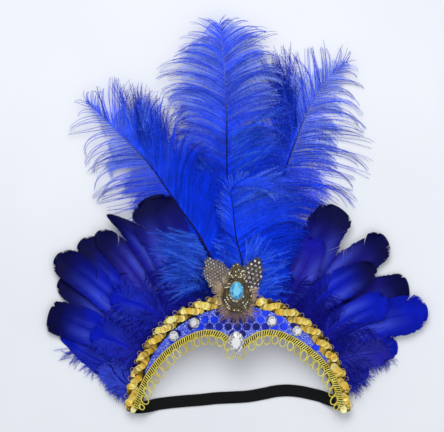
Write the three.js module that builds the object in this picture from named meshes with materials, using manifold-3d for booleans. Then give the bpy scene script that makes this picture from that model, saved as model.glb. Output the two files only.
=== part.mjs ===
// Showgirl feather headdress, lying on its back: a felt crescent with a sequin cloth face, gold braid and
// looped gimp, cut stones, a beaded medallion, ostrich plumes, two fans of goose feathers and an elastic strap.
// Millimetres. X runs across the forehead, Y up the plumes and Z out of the front of the headdress.
// Pieces are placed round the centre of the crescent's arch, and the whole is moved to its origin at the end.
import * as THREE from "three";
import { mergeVertices } from "three/addons/utils/BufferGeometryUtils.js";
import Module from "manifold-3d";

const wasm = await Module();
wasm.setup();

// Driving dimensions
const GAP = 0.3;
const STRAP_WIDTH = 12;
const STRAP_THICKNESS = 1.2;
const BAND_HALF_SPAN = 110;
const BAND_RISE = 28;
const BAND_LIFT = 4.5;
const BASE_THICKNESS = 2;
const BASE_OUTER_RADIUS = 110;
const BASE_END_ANGLE = 93;
const BASE_STATIONS = 38;
const CLOTH_THICKNESS = 1;
const CLOTH_OUTER_RADIUS = 99.5;
const CLOTH_END_ANGLE = 71;
const CLOTH_STATIONS = 34;
const BRAID_RADIUS = 106.5;
const BRAID_HALF_WIDTH = 4.6;
const BRAID_HALF_HEIGHT = 1.8;
const BRAID_LOBE = 0.26;
const BRAID_PITCH = 17;
const BRAID_STEPS_PER_PITCH = 5;
const BRAID_START_ANGLE = 10;
const BRAID_END_ANGLE = 88;
const GIMP_HEAD_WIDTH = 6;
const GIMP_HEAD_THICKNESS = 1.6;
const GIMP_STATIONS = 44;
const LOOPS_PER_SIDE = 17;
const LOOP_LENGTH = 8.6;
const LOOP_HALF_WIDTH = 3.7;
const LOOP_WIRE_RADIUS = 0.6;
const LOOP_WIRE_SIDES = 5;
const LOOP_STEPS = 6;
const QUILL_ROOT_RADIUS = 102;
const QUILL_LAYER = 2.6;
const QUILL_SEAT = 7;
const QUILL_FALL = 34;
const GOOSE_QUILL_RADIUS = 1.1;
const GOOSE_VANE_THICKNESS = 0.9;
const PLUME_QUILL_RADIUS = 1.6;
const PLUME_BARE_STATIONS = 4;
const LOCK_THICKNESS = 1;
const LOCK_PLEAT = 0.7;
const LOCK_NOTCH = 0.76;
const MEDALLION_RADIUS = 15.5;
const MEDALLION_HEIGHT = 33;
const MEDALLION_LEAF_HALF_WIDTH = 7.5;
const MEDALLION_THICKNESS = 2;
const MEDALLION_CENTRE = { x: -2.5, y: 110 };
const BEAD_HEIGHT = 1.3;
const BEAD_WIDTH = 2;
const BEAD_COUNT = 22;
const GEM_WIDTH = 13;
const GEM_HEIGHT = 18;
const GEM_DEPTH = 4.5;
const GEM_RISE = 5;
const DROP_WIDTH = 15;
const DROP_HEIGHT = 21;
const DROP_DEPTH = 4.5;
const DROP_CENTRE = { x: -3, y: 63.5 };
const ROUND_STONE_DIAMETER = 10;
const ROUND_STONE_DEPTH = 3.6;
const TUFT_RADIUS = 11;
const TUFT_THICKNESS = 1.5;
const TUFT_CENTRE = { x: -2, y: 104 };
const TUFT_LOCKS = 13;
const TUFT_NOTCH = 0.74;

// The middle line of the gimp on the lower edge: angle from straight up, distance from the arch's centre.
const GIMP_LINE = [
  { angle: 0, radius: 60 },
  { angle: 8, radius: 66 },
  { angle: 16, radius: 74.5 },
  { angle: 25, radius: 80.5 },
  { angle: 38, radius: 84.5 },
  { angle: 50, radius: 88 },
  { angle: 62, radius: 91.5 },
  { angle: 75, radius: 95.5 },
  { angle: 88, radius: 98 },
];

// The elastic lies on the surface in a loose wave, and its ends rise to the back of the band.
const STRAP_ROUTE = [
  { x: -105, y: -3, z: 4.9 },
  { x: -98, y: -2.5, z: 6.4 },
  { x: -90, y: -1, z: 2.4 },
  { x: -81, y: 1.3, z: 0 },
  { x: -59, y: 4, z: 0 },
  { x: -39, y: 4.8, z: 0 },
  { x: -23, y: 6, z: 0 },
  { x: -7, y: 7.5, z: 0 },
  { x: 9, y: 9, z: 0 },
  { x: 25, y: 11, z: 0 },
  { x: 37, y: 13.2, z: 0 },
  { x: 49, y: 14.2, z: 0 },
  { x: 61, y: 13.5, z: 0 },
  { x: 73, y: 10.5, z: 0 },
  { x: 82, y: 8, z: 0 },
  { x: 90, y: 5, z: 2.4 },
  { x: 98, y: 2.5, z: 6.4 },
  { x: 105, y: 1, z: 4.9 },
];
const STRAP_STATIONS = 24;

// Round stones on the cloth: angle from straight up and distance from the arch's centre.
const ROUND_STONES = [
  { angle: -43, radius: 95.1 },
  { angle: -28, radius: 94 },
  { angle: 21, radius: 90.6 },
  { angle: 37.6, radius: 94.2 },
];

// Goose feathers: where the quill leaves the band, the layer of quills it is glued in, where the tip lies,
// sideways bow, width of the vane, and the heights of the vane's run and of its tip above the surface.
const GOOSE_LEFT = [
  { angle: -24, layer: 0, tipX: -83, tipY: 208, bow: 5, width: 40, run: 21, tip: 20.5 },
  { angle: -35, layer: 0, tipX: -131, tipY: 190, bow: -16, width: 18, run: 16, tip: 14 },
  { angle: -46, layer: 0, tipX: -140, tipY: 173, bow: -8, width: 32, run: 11, tip: 10.5 },
  { angle: -50, layer: 1, tipX: -159, tipY: 162, bow: -8, width: 32, run: 4.2, tip: 5 },
  { angle: -56, layer: 0, tipX: -183, tipY: 147, bow: -7, width: 33, run: 8.2, tip: 7 },
  { angle: -61, layer: 1, tipX: -180, tipY: 120, bow: -5, width: 32, run: 1.5, tip: 2 },
  { angle: -68, layer: 0, tipX: -193, tipY: 92, bow: -7, width: 37, run: 5.4, tip: 7 },
  { angle: -75, layer: 1, tipX: -178, tipY: 62, bow: 3, width: 24, run: 1.5, tip: 2 },
  { angle: -40, layer: 0, tipX: -128, tipY: 107, bow: -6, width: 28, run: 14.5, tip: 14 },
  { angle: -63, layer: 0, tipX: -148, tipY: 70, bow: -4, width: 28, run: 9.5, tip: 10 },
  { angle: -82, layer: 0, tipX: -134, tipY: 22, bow: 4, width: 26, run: 4.8, tip: 4.4 },
];
const GOOSE_RIGHT = [
  { angle: 29, layer: 1, tipX: 94, tipY: 197, bow: 2, width: 46, run: 10, tip: 11 },
  { angle: 40, layer: 0, tipX: 148, tipY: 169, bow: 8, width: 36, run: 7.5, tip: 8 },
  { angle: 48, layer: 1, tipX: 168, tipY: 126, bow: 8, width: 34, run: 2.5, tip: 4 },
  { angle: 57, layer: 0, tipX: 188, tipY: 92, bow: 9, width: 38, run: 7, tip: 8 },
  { angle: 70, layer: 1, tipX: 168, tipY: 52, bow: 5, width: 30, run: 1.5, tip: 2 },
  { angle: 80, layer: 0, tipX: 136, tipY: 18, bow: 4, width: 28, run: 4.8, tip: 4.4 },
  { angle: 23, layer: 0, tipX: 79, tipY: 166, bow: -2, width: 30, run: 16.5, tip: 16 },
  { angle: 35, layer: 0, tipX: 129, tipY: 139, bow: 6, width: 30, run: 14, tip: 13 },
  { angle: 51, layer: 0, tipX: 148, tipY: 101, bow: 6, width: 30, run: 11.5, tip: 11 },
  { angle: 66, layer: 0, tipX: 150, tipY: 50, bow: 4, width: 26, run: 5.5, tip: 6 },
];
const GOOSE_CAMBER = 1.5;

// A goose vane along its length: share of the length, share of the width, share of the camber.
const GOOSE_VANE = [
  { along: 0, width: 0.07, camber: 0 },
  { along: 0.12, width: 0.36, camber: 0.3 },
  { along: 0.3, width: 0.82, camber: 0.8 },
  { along: 0.55, width: 1, camber: 1 },
  { along: 0.8, width: 0.98, camber: 0.8 },
  { along: 0.94, width: 0.78, camber: 0.5 },
  { along: 1, width: 0.32, camber: 0.2 },
];

// A guinea vane: a small oval leaf on a bare quill.
const GUINEA_VANE = [
  { along: 0, width: 0.1, camber: 0 },
  { along: 0.24, width: 0.1, camber: 0 },
  { along: 0.4, width: 0.72, camber: 0.6 },
  { along: 0.6, width: 1, camber: 1 },
  { along: 0.82, width: 0.86, camber: 0.8 },
  { along: 1, width: 0.22, camber: 0.2 },
];
const GUINEA = [
  { name: "guinea_left", rootX: -8, tipX: -32, tipY: 146, bow: -3, width: 26 },
  { name: "guinea_right", rootX: 5, tipX: 24, tipY: 147, bow: 3, width: 21 },
];
const GUINEA_ROOT_Y = 98;
const GUINEA_QUILL_RADIUS = 0.7;
const GUINEA_VANE_THICKNESS = 0.8;
const GUINEA_CAMBER = 0.8;

// Ostrich plumes. The quill is a table of points. Each vane is a table, by the share of the quill's length, of
// its locks' turn from the quill, length, drop of the tip below the quill and backward curl in degrees.
const PLUMES = [
  {
    name: "plume_right",
    locks: 13,
    quill: [
      { x: 6, y: 98, z: 26.5 },
      { x: 13, y: 122, z: 19 },
      { x: 33, y: 192, z: 7 },
      { x: 54, y: 257, z: 3.6 },
      { x: 73, y: 302, z: 3.2 },
      { x: 90, y: 328, z: 5 },
      { x: 108, y: 343, z: 8 },
    ],
    left: [
      { along: 0.45, turn: 52, length: 56, drop: 0.6, curl: -6 },
      { along: 0.75, turn: 60, length: 66, drop: 0.8, curl: -4 },
      { along: 0.9, turn: 46, length: 28, drop: 0.4, curl: 0 },
      { along: 1, turn: 26, length: 8, drop: 0, curl: 0 },
    ],
    right: [
      { along: 0.4, turn: 84, length: 72, drop: 2.6, curl: 14 },
      { along: 0.7, turn: 78, length: 72, drop: 2.4, curl: 12 },
      { along: 0.9, turn: 56, length: 30, drop: 0.6, curl: 14 },
      { along: 1, turn: 26, length: 8, drop: 0, curl: 6 },
    ],
  },
  {
    name: "plume_center",
    locks: 14,
    quill: [
      { x: 2.4, y: 98, z: 26.5 },
      { x: -4, y: 130, z: 19 },
      { x: -9, y: 180, z: 11 },
      { x: -12, y: 240, z: 8 },
      { x: -12.5, y: 297, z: 8 },
      { x: -16, y: 350, z: 11 },
      { x: -20, y: 381, z: 15 },
    ],
    left: [
      { along: 0.4, turn: 66, length: 60, drop: 1, curl: 10 },
      { along: 0.78, turn: 68, length: 68, drop: 1, curl: 16 },
      { along: 0.92, turn: 56, length: 36, drop: 0.5, curl: 16 },
      { along: 1, turn: 30, length: 8, drop: 0, curl: 6 },
    ],
    right: [
      { along: 0.4, turn: 66, length: 58, drop: 1, curl: 8 },
      { along: 0.78, turn: 66, length: 68, drop: 1, curl: 16 },
      { along: 0.92, turn: 60, length: 42, drop: 0.5, curl: 16 },
      { along: 1, turn: 30, length: 8, drop: 0, curl: 6 },
    ],
  },
  {
    name: "plume_left",
    locks: 14,
    quill: [
      { x: -12, y: 98, z: 30 },
      { x: -17, y: 122, z: 27.5 },
      { x: -38, y: 167, z: 21 },
      { x: -60, y: 198.5, z: 16 },
      { x: -92, y: 243.5, z: 12.5 },
      { x: -123, y: 274.5, z: 10 },
      { x: -153, y: 304, z: 12 },
    ],
    left: [
      { along: 0.1, turn: 70, length: 30, drop: 0, curl: 0 },
      { along: 0.27, turn: 64, length: 52, drop: -4, curl: 4 },
      { along: 0.275, turn: 90, length: 0, drop: 0, curl: 0 },
      { along: 0.395, turn: 90, length: 0, drop: 0, curl: 0 },
      { along: 0.4, turn: 80, length: 68, drop: 12, curl: 4 },
      { along: 0.7, turn: 68, length: 58, drop: 8, curl: 14 },
      { along: 0.88, turn: 60, length: 34, drop: 4, curl: 20 },
      { along: 1, turn: 30, length: 8, drop: 1, curl: 8 },
    ],
    right: [
      { along: 0.18, turn: 50, length: 54, drop: 2, curl: -4 },
      { along: 0.5, turn: 52, length: 74, drop: -0.5, curl: -4 },
      { along: 0.84, turn: 50, length: 46, drop: -0.5, curl: 2 },
      { along: 1, turn: 26, length: 8, drop: 0, curl: 0 },
    ],
  },
  {
    name: "plume_front",
    locks: 11,
    quill: [
      { x: 6, y: 98, z: 30 },
      { x: 3.5, y: 140, z: 30 },
      { x: -3, y: 168, z: 29.6 },
      { x: -6, y: 196, z: 29.4 },
      { x: -8, y: 213, z: 30.5 },
      { x: -3, y: 221, z: 32 },
      { x: 7, y: 226, z: 31.5 },
    ],
    left: [
      { along: 0.35, turn: 40, length: 18, drop: -0.5, curl: 0 },
      { along: 0.7, turn: 40, length: 24, drop: -0.5, curl: 0 },
      { along: 1, turn: 24, length: 12, drop: 0, curl: 0 },
    ],
    right: [
      { along: 0.1, turn: 78, length: 46, drop: 2, curl: 14 },
      { along: 0.3, turn: 68, length: 62, drop: 4, curl: 16 },
      { along: 0.55, turn: 56, length: 80, drop: 6, curl: 16 },
      { along: 0.8, turn: 46, length: 76, drop: 6, curl: 20 },
      { along: 1, turn: 8, length: 40, drop: 4, curl: 20 },
    ],
  },
];

// Colours and finishes
const finishes = {
  strap: { color: 0x1d2021, roughness: 0.85, metalness: 0 },
  felt: { color: 0x0d0d10, roughness: 0.95, metalness: 0 },
  cloth: { color: 0x2a48d8, roughness: 0.45, metalness: 0.1 },
  gold: { color: 0xe0b848, roughness: 0.32, metalness: 0.85 },
  crystal: { color: 0xe6ebef, roughness: 0.05, metalness: 0 },
  aqua: { color: 0x33b4e0, roughness: 0.05, metalness: 0 },
  bronze: { color: 0x4a3f28, roughness: 0.35, metalness: 0.7 },
  guinea: { color: 0x5e564f, roughness: 0.8, metalness: 0 },
  down: { color: 0x9a7c5c, roughness: 0.9, metalness: 0 },
  goose: { color: 0x1a1494, roughness: 0.5, metalness: 0 },
  ostrich: { color: 0x1440d8, roughness: 0.8, metalness: 0 },
};

const pieces = new THREE.Group();

function addPiece(name, geometry, finish) {
  const material = new THREE.MeshStandardMaterial(finishes[finish]);
  const mesh = new THREE.Mesh(geometry, material);
  mesh.name = name;
  pieces.add(mesh);
  return mesh;
}

// A closed body through rings of points: quads between neighbouring rings and a fan over each end.
function loft(rings) {
  const sides = rings[0].length;
  const positions = rings.flat().flatMap((p) => [p.x, p.y, p.z]);
  const index = [];
  for (let i = 0; i + 1 < rings.length; i++) {
    for (let j = 0; j < sides; j++) {
      const a = i * sides + j;
      const b = i * sides + ((j + 1) % sides);
      index.push(a, b, a + sides, b, b + sides, a + sides);
    }
  }
  const last = (rings.length - 1) * sides;
  for (let j = 1; j + 1 < sides; j++) {
    index.push(0, j + 1, j);
    index.push(last, last + j, last + j + 1);
  }
  const geometry = new THREE.BufferGeometry();
  geometry.setAttribute("position", new THREE.Float32BufferAttribute(positions, 3));
  geometry.setIndex(index);
  return facingOut(geometry);
}

// Turns every face round where the enclosed volume comes out negative.
function facingOut(geometry) {
  const p = geometry.getAttribute("position");
  const index = geometry.getIndex().array;
  const [a, b, c] = [new THREE.Vector3(), new THREE.Vector3(), new THREE.Vector3()];
  let volume = 0;
  for (let i = 0; i < index.length; i += 3) {
    a.fromBufferAttribute(p, index[i]);
    b.fromBufferAttribute(p, index[i + 1]);
    c.fromBufferAttribute(p, index[i + 2]);
    volume += a.dot(b.cross(c)) / 6;
  }
  if (volume < 0) {
    geometry.setIndex([...index].reverse());
  }
  return geometry;
}

function solidOf(geometry) {
  const bare = geometry.clone();
  bare.deleteAttribute("normal");
  bare.deleteAttribute("uv");
  const merged = mergeVertices(bare, 1e-4);
  const mesh = new wasm.Mesh({
    numProp: 3,
    vertProperties: new Float32Array(merged.getAttribute("position").array),
    triVerts: new Uint32Array(merged.getIndex().array),
  });
  return new wasm.Manifold(mesh);
}

// Several closed geometries joined into one body.
function fuse(geometries) {
  const joined = geometries.map(solidOf).reduce((all, next) => all.add(next));
  const mesh = joined.getMesh();
  const geometry = new THREE.BufferGeometry();
  geometry.setAttribute("position", new THREE.Float32BufferAttribute(mesh.vertProperties, 3));
  geometry.setIndex([...mesh.triVerts]);
  return geometry;
}

function lerpRow(rows, key, at, column) {
  const after = rows.findIndex((row) => row[key] >= at);
  if (after === 0) return rows[0][column];
  if (after < 0) return rows.at(-1)[column];
  const [low, high] = [rows[after - 1], rows[after]];
  const share = (at - low[key]) / (high[key] - low[key]);
  return THREE.MathUtils.lerp(low[column], high[column], share);
}

// The band is bent about an axis along Y: its back stands this high above the surface at a given x.
function bandBack(x) {
  const bend = (BAND_HALF_SPAN ** 2 + BAND_RISE ** 2) / (2 * BAND_RISE);
  return BAND_LIFT + Math.sqrt(bend ** 2 - x ** 2) - (bend - BAND_RISE);
}

function bandFront(x) {
  return bandBack(x) + BASE_THICKNESS;
}

function onArch(angle, radius) {
  const turn = THREE.MathUtils.degToRad(angle);
  return new THREE.Vector2(radius * Math.sin(turn), radius * Math.cos(turn));
}

const gimpHalf = GIMP_LINE.map((row) => onArch(row.angle, row.radius));
const gimpMirror = gimpHalf.slice(1).reverse().map((p) => new THREE.Vector2(-p.x, p.y));
const gimpCurve = new THREE.SplineCurve([...gimpMirror, ...gimpHalf]);

// Distance of the gimp's middle line from the arch's centre at an angle from straight up.
function gimpRadius(angle) {
  const share = THREE.MathUtils.clamp(Math.abs(angle), 0, GIMP_LINE.at(-1).angle);
  return lerpRow(GIMP_LINE, "angle", share, "radius");
}

// A bent sheet between an inner and an outer edge that follow the arch.
function crescent({ stations, endAngle, outer, inner, lift, thickness }) {
  const rings = [];
  for (let i = 0; i <= stations; i++) {
    const angle = THREE.MathUtils.lerp(-endAngle, endAngle, i / stations);
    const far = onArch(angle, outer);
    const near = onArch(angle, inner(angle));
    const farBack = bandBack(far.x) + lift;
    const nearBack = bandBack(near.x) + lift;
    rings.push([
      new THREE.Vector3(far.x, far.y, farBack),
      new THREE.Vector3(far.x, far.y, farBack + thickness),
      new THREE.Vector3(near.x, near.y, nearBack + thickness),
      new THREE.Vector3(near.x, near.y, nearBack),
    ]);
  }
  return loft(rings);
}

function bandBase() {
  return crescent({
    stations: BASE_STATIONS,
    endAngle: BASE_END_ANGLE,
    outer: BASE_OUTER_RADIUS,
    inner: (angle) => gimpRadius(angle) - GIMP_HEAD_WIDTH / 3,
    lift: 0,
    thickness: BASE_THICKNESS,
  });
}

function bandCloth() {
  return crescent({
    stations: CLOTH_STATIONS,
    endAngle: CLOTH_END_ANGLE,
    outer: CLOTH_OUTER_RADIUS,
    inner: (angle) => gimpRadius(angle) - GIMP_HEAD_WIDTH / 6,
    lift: BASE_THICKNESS + GAP,
    thickness: CLOTH_THICKNESS,
  });
}

// Two strands of the braid twist round each other, so an oval section with two lobes turns as it goes along.
function braid(side) {
  const arc = THREE.MathUtils.degToRad(BRAID_END_ANGLE - BRAID_START_ANGLE) * BRAID_RADIUS;
  const steps = Math.round((arc / BRAID_PITCH) * BRAID_STEPS_PER_PITCH);
  const sides = 8;
  const lift = GAP + BRAID_HALF_HEIGHT * (1 + BRAID_LOBE);
  const rings = [];
  for (let i = 0; i <= steps; i++) {
    const angle = side * THREE.MathUtils.lerp(BRAID_START_ANGLE, BRAID_END_ANGLE, i / steps);
    const twist = (2 * Math.PI * i) / BRAID_STEPS_PER_PITCH;
    const ring = [];
    for (let j = 0; j < sides; j++) {
      const around = (2 * Math.PI * j) / sides;
      const lobe = 1 + BRAID_LOBE * Math.cos(2 * around - twist);
      const p = onArch(angle, BRAID_RADIUS + BRAID_HALF_WIDTH * lobe * Math.cos(around));
      const z = bandFront(p.x) + lift + BRAID_HALF_HEIGHT * lobe * Math.sin(around);
      ring.push(new THREE.Vector3(p.x, p.y, z));
    }
    rings.push(ring);
  }
  return loft(rings);
}

function gimpLift() {
  return BASE_THICKNESS + GAP + CLOTH_THICKNESS + GAP;
}

function gimpHead() {
  const rings = [];
  for (let i = 0; i <= GIMP_STATIONS; i++) {
    const middle = gimpCurve.getPointAt(i / GIMP_STATIONS);
    const tangent = gimpCurve.getTangentAt(i / GIMP_STATIONS);
    const normal = new THREE.Vector2(-tangent.y, tangent.x);
    const ring = [];
    for (const [across, up] of [[-1, 0], [1, 0], [1, 1], [-1, 1]]) {
      const p = middle.clone().addScaledVector(normal, (across * GIMP_HEAD_WIDTH) / 2);
      const z = bandBack(p.x) + gimpLift() + up * GIMP_HEAD_THICKNESS;
      ring.push(new THREE.Vector3(p.x, p.y, z));
    }
    rings.push(ring);
  }
  return loft(rings);
}

// One cord runs along under the head in open loops: down from the head, round, and back up to it.
function gimpLoops() {
  const count = 2 * LOOPS_PER_SIDE;
  const points = [];
  for (let i = 0; i < count; i++) {
    for (let k = i === 0 ? 0 : 1; k <= LOOP_STEPS; k++) {
      const turn = (Math.PI * k) / LOOP_STEPS;
      const swell = LOOP_HALF_WIDTH * Math.cos(turn) * (0.75 + 0.25 * Math.sin(turn));
      const at = (i + 0.5) / count;
      const tangent = gimpCurve.getTangentAt(at);
      const p = gimpCurve.getPointAt(at).addScaledVector(tangent, -swell);
      const reach = GIMP_HEAD_WIDTH / 2 + LOOP_WIRE_RADIUS + GAP + LOOP_LENGTH * Math.sin(turn);
      p.addScaledVector(new THREE.Vector2(tangent.y, -tangent.x), reach);
      points.push(new THREE.Vector3(p.x, p.y, bandBack(p.x) + gimpLift() + GIMP_HEAD_THICKNESS / 2));
    }
  }
  return wire(points);
}

// A round cord through points, with a section square to the way between the points beside it.
function wire(points) {
  const rings = points.map((p, i) => {
    const before = points[Math.max(0, i - 1)];
    const after = points[Math.min(points.length - 1, i + 1)];
    const forward = after.clone().sub(before).normalize();
    const side = new THREE.Vector3(-forward.y, forward.x, 0).normalize();
    const up = new THREE.Vector3().crossVectors(forward, side);
    const ring = [];
    for (let j = 0; j < LOOP_WIRE_SIDES; j++) {
      const around = (2 * Math.PI * j) / LOOP_WIRE_SIDES;
      const q = p.clone().addScaledVector(side, LOOP_WIRE_RADIUS * Math.cos(around));
      ring.push(q.addScaledVector(up, LOOP_WIRE_RADIUS * Math.sin(around)));
    }
    return ring;
  });
  return loft(rings);
}

// A cut stone: flat back, girdle, a belt of crown facets and a flat table. The outline gives its girdle.
function cutStone(outline, depth) {
  const levels = [
    { height: 0, spread: 0.94 },
    { height: 0.22, spread: 1 },
    { height: 0.68, spread: 0.8 },
    { height: 1, spread: 0.5 },
  ];
  const rings = levels.map(({ height, spread }) =>
    outline.map((p) => new THREE.Vector3(p.x * spread, p.y * spread, height * depth)),
  );
  return loft(rings);
}

function ovalOutline(width, height, sides) {
  return Array.from({ length: sides }, (_, i) => {
    const turn = (2 * Math.PI * (i + 0.5)) / sides;
    return new THREE.Vector2((width / 2) * Math.cos(turn), (height / 2) * Math.sin(turn));
  });
}

// A pear outline with its point down: an oval whose width shrinks towards the point.
function pearOutline(width, height, sides) {
  return ovalOutline(width, height, sides).map((p) => {
    const down = Math.max(0, -p.y / (height / 2));
    return new THREE.Vector2(p.x * (1 - 0.35 * down), p.y);
  });
}

// A stone lies flat on the bent band, so it turns with the band about Y.
function setStone(mesh, x, y, lift) {
  const slope = (bandBack(x + 1) - bandBack(x - 1)) / 2;
  mesh.position.set(x, y, bandBack(x) + lift);
  mesh.rotation.y = -Math.atan(slope);
}

// A feather's line in plan from its root to its tip, bowed to the left of that way by an amount.
function bowedLine(root, tip, bow) {
  const chord = tip.clone().sub(root);
  const left = new THREE.Vector2(-chord.y, chord.x).normalize();
  const elbow = root.clone().add(tip).multiplyScalar(0.5).addScaledVector(left, 2 * bow);
  return new THREE.QuadraticBezierCurve(root, elbow, tip);
}

// A thin leaf with a raised quill along its middle, through the rows of a vane table.
function leafFeather({ curve, width, camber, vane, quill, thickness, height }) {
  const rings = vane.map((row) => {
    const middle = curve.getPoint(row.along);
    const tangent = curve.getTangent(row.along);
    const normal = new THREE.Vector2(-tangent.y, tangent.x);
    const half = (width / 2) * row.width;
    const z = height(row.along);
    const at = (across, up) => {
      const p = middle.clone().addScaledVector(normal, across * half);
      return new THREE.Vector3(p.x, p.y, z - camber * row.camber * across * across + up);
    };
    const mid = Math.min(0.5, quill / half);
    return [
      at(1, 0),
      at(0.5, thickness / 2),
      at(0, quill),
      at(-0.5, thickness / 2),
      at(-1, 0),
      at(-0.5, -thickness / 2),
      at(0, -quill * mid * 2),
      at(0.5, -thickness / 2),
    ];
  });
  return loft(rings);
}

function gooseFeather(row) {
  const curve = bowedLine(onArch(row.angle, QUILL_ROOT_RADIUS), new THREE.Vector2(row.tipX, row.tipY), row.bow);
  const length = curve.getLength();
  const edge = curve.getPoints(60).find((p) => p.length() >= BASE_OUTER_RADIUS);
  const rootHeight = bandBack(edge.x) - GAP - GOOSE_QUILL_RADIUS - row.layer * QUILL_LAYER;
  return leafFeather({
    curve,
    width: row.width,
    camber: GOOSE_CAMBER,
    vane: GOOSE_VANE,
    quill: GOOSE_QUILL_RADIUS,
    thickness: GOOSE_VANE_THICKNESS,
    height: (along) => {
      const fall = THREE.MathUtils.smoothstep(along * length, QUILL_SEAT, QUILL_FALL);
      const level = THREE.MathUtils.lerp(rootHeight, row.run, fall);
      return level + (row.tip - row.run) * THREE.MathUtils.smoothstep(along, 0.5, 1);
    },
  });
}

// Height of the band's middle, and of what is stacked on the cloth there.
const tuftBack = bandFront(0) + GAP + CLOTH_THICKNESS + GAP;
const guineaHeight = tuftBack + TUFT_THICKNESS + GAP + GUINEA_QUILL_RADIUS + GAP;
const medallionBack = guineaHeight + GUINEA_QUILL_RADIUS + GAP;
const gemBack = medallionBack + MEDALLION_THICKNESS + GAP;

function guineaFeather(row) {
  const root = new THREE.Vector2(row.rootX, GUINEA_ROOT_Y);
  const tip = new THREE.Vector2(row.tipX, row.tipY);
  return leafFeather({
    curve: bowedLine(root, tip, row.bow),
    width: row.width,
    camber: GUINEA_CAMBER,
    vane: GUINEA_VANE,
    quill: GUINEA_QUILL_RADIUS,
    thickness: GUINEA_VANE_THICKNESS,
    height: () => guineaHeight,
  });
}

// Points along one lock at shares of its length: it leaves the quill at its turn, then curls back and drops.
const LOCK_SHARES = [0.35, 0.7, 1];

function lockPoints(start, heading, { length, curl, drop }) {
  const place = start.clone();
  let before = 0;
  return LOCK_SHARES.map((share) => {
    const turned = heading + curl * share;
    const step = (share - before) * length;
    place.add(new THREE.Vector3(step * Math.cos(turned), step * Math.sin(turned), 0));
    before = share;
    return place.clone().setZ(start.z - drop * share ** 1.5);
  });
}

// One ring across a plume: left tip, over the top by way of the quill to the right tip, and back underneath.
function plumeRing(middle, radius, leftLock, rightLock, thickness) {
  const raised = (p, up) => p.clone().setZ(p.z + up);
  const [l1, l2, l3] = leftLock;
  const [r1, r2, r3] = rightLock;
  const half = thickness / 2;
  return [
    l3,
    raised(l2, half),
    raised(l1, half),
    raised(middle, radius),
    raised(r1, half),
    raised(r2, half),
    r3,
    raised(r2, -half),
    raised(r1, -half),
    raised(middle, -radius),
    raised(l1, -half),
    raised(l2, -half),
  ];
}

// A lock's row at a share of the quill's length. Short of the vane there is only the quill's own half width.
function lockAt(rows, along, notch, bare) {
  if (!rows || along < rows[0].along) {
    return { turn: Math.PI / 2, length: bare, curl: 0, drop: 0 };
  }
  return {
    turn: THREE.MathUtils.degToRad(lerpRow(rows, "along", along, "turn")),
    length: Math.max(bare, lerpRow(rows, "along", along, "length") * notch),
    curl: THREE.MathUtils.degToRad(lerpRow(rows, "along", along, "curl")),
    drop: lerpRow(rows, "along", along, "drop") * notch,
  };
}

// A quill with a pleated vane on each side: every second ring stands out as a lock, with notches between.
function plumeBody(curve, { left, right, locks, from, to }) {
  const rings = [];
  const ringAt = (along, notch, pleat, bareOnly) => {
    const middle = curve.getPointAt(along);
    const tangent = curve.getTangentAt(along);
    const heading = Math.atan2(tangent.y, tangent.x);
    const radius = PLUME_QUILL_RADIUS * (1 - 0.6 * along);
    const start = middle.clone().setZ(middle.z + pleat);
    const [leftLock, rightLock] = [left, right].map((rows) =>
      lockAt(bareOnly ? null : rows, along, notch, radius),
    );
    rings.push(
      plumeRing(
        middle,
        radius,
        lockPoints(start, heading + leftLock.turn, leftLock),
        lockPoints(start, heading - rightLock.turn, { ...rightLock, curl: -rightLock.curl }),
        bareOnly ? radius : LOCK_THICKNESS,
      ),
    );
  };
  for (let i = 0; i < PLUME_BARE_STATIONS; i++) {
    ringAt((from * i) / PLUME_BARE_STATIONS, 1, 0, true);
  }
  for (let i = 0; i <= 2 * locks; i++) {
    const ridge = i % 2 === 1;
    const along = THREE.MathUtils.lerp(from, to, i / (2 * locks));
    ringAt(along, ridge ? 1 : LOCK_NOTCH, ridge ? LOCK_PLEAT : -LOCK_PLEAT, false);
  }
  ringAt(Math.min(1, to + 0.01), 1, 0, true);
  return loft(rings);
}

function plume({ quill, left, right, locks }) {
  const curve = new THREE.CatmullRomCurve3(quill.map((p) => new THREE.Vector3(p.x, p.y, p.z)));
  const from = Math.min(left[0].along, right[0].along);
  return plumeBody(curve, { left, right, locks, from, to: 0.985 });
}

// Pear-shaped plate with its leaf point up, and long beads raised on it round the stone's seat.
function medallion() {
  const outline = new THREE.Shape();
  outline.absarc(0, 0, MEDALLION_RADIUS, Math.PI, 2 * Math.PI);
  outline.bezierCurveTo(MEDALLION_RADIUS, 12, 5, 16, MEDALLION_LEAF_HALF_WIDTH, 23);
  outline.quadraticCurveTo(MEDALLION_LEAF_HALF_WIDTH, 30, 0, MEDALLION_HEIGHT);
  outline.quadraticCurveTo(-MEDALLION_LEAF_HALF_WIDTH, 30, -MEDALLION_LEAF_HALF_WIDTH, 23);
  outline.bezierCurveTo(-5, 16, -MEDALLION_RADIUS, 12, -MEDALLION_RADIUS, 0);
  const plate = new THREE.ExtrudeGeometry(outline, {
    depth: MEDALLION_THICKNESS,
    bevelEnabled: false,
    curveSegments: 6,
  });
  const beads = [];
  for (let i = 0; i < BEAD_COUNT; i++) {
    const turn = (2 * Math.PI * (i + 0.5)) / BEAD_COUNT;
    const inner = new THREE.Vector2(7.2 * Math.cos(turn), GEM_RISE + 9.7 * Math.sin(turn));
    const outer = new THREE.Vector2(13.2 * Math.cos(turn), 2 + 15.5 * Math.sin(turn));
    beads.push(bead(inner, outer));
  }
  for (const rowHeight of [20.5, 25.5]) {
    for (const side of [-1, 1]) {
      const outer = new THREE.Vector2(side * 4.6, rowHeight + 2.6);
      beads.push(bead(new THREE.Vector2(side * 1.1, rowHeight - 1.4), outer));
    }
  }
  return fuse([plate, ...beads]);
}

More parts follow.
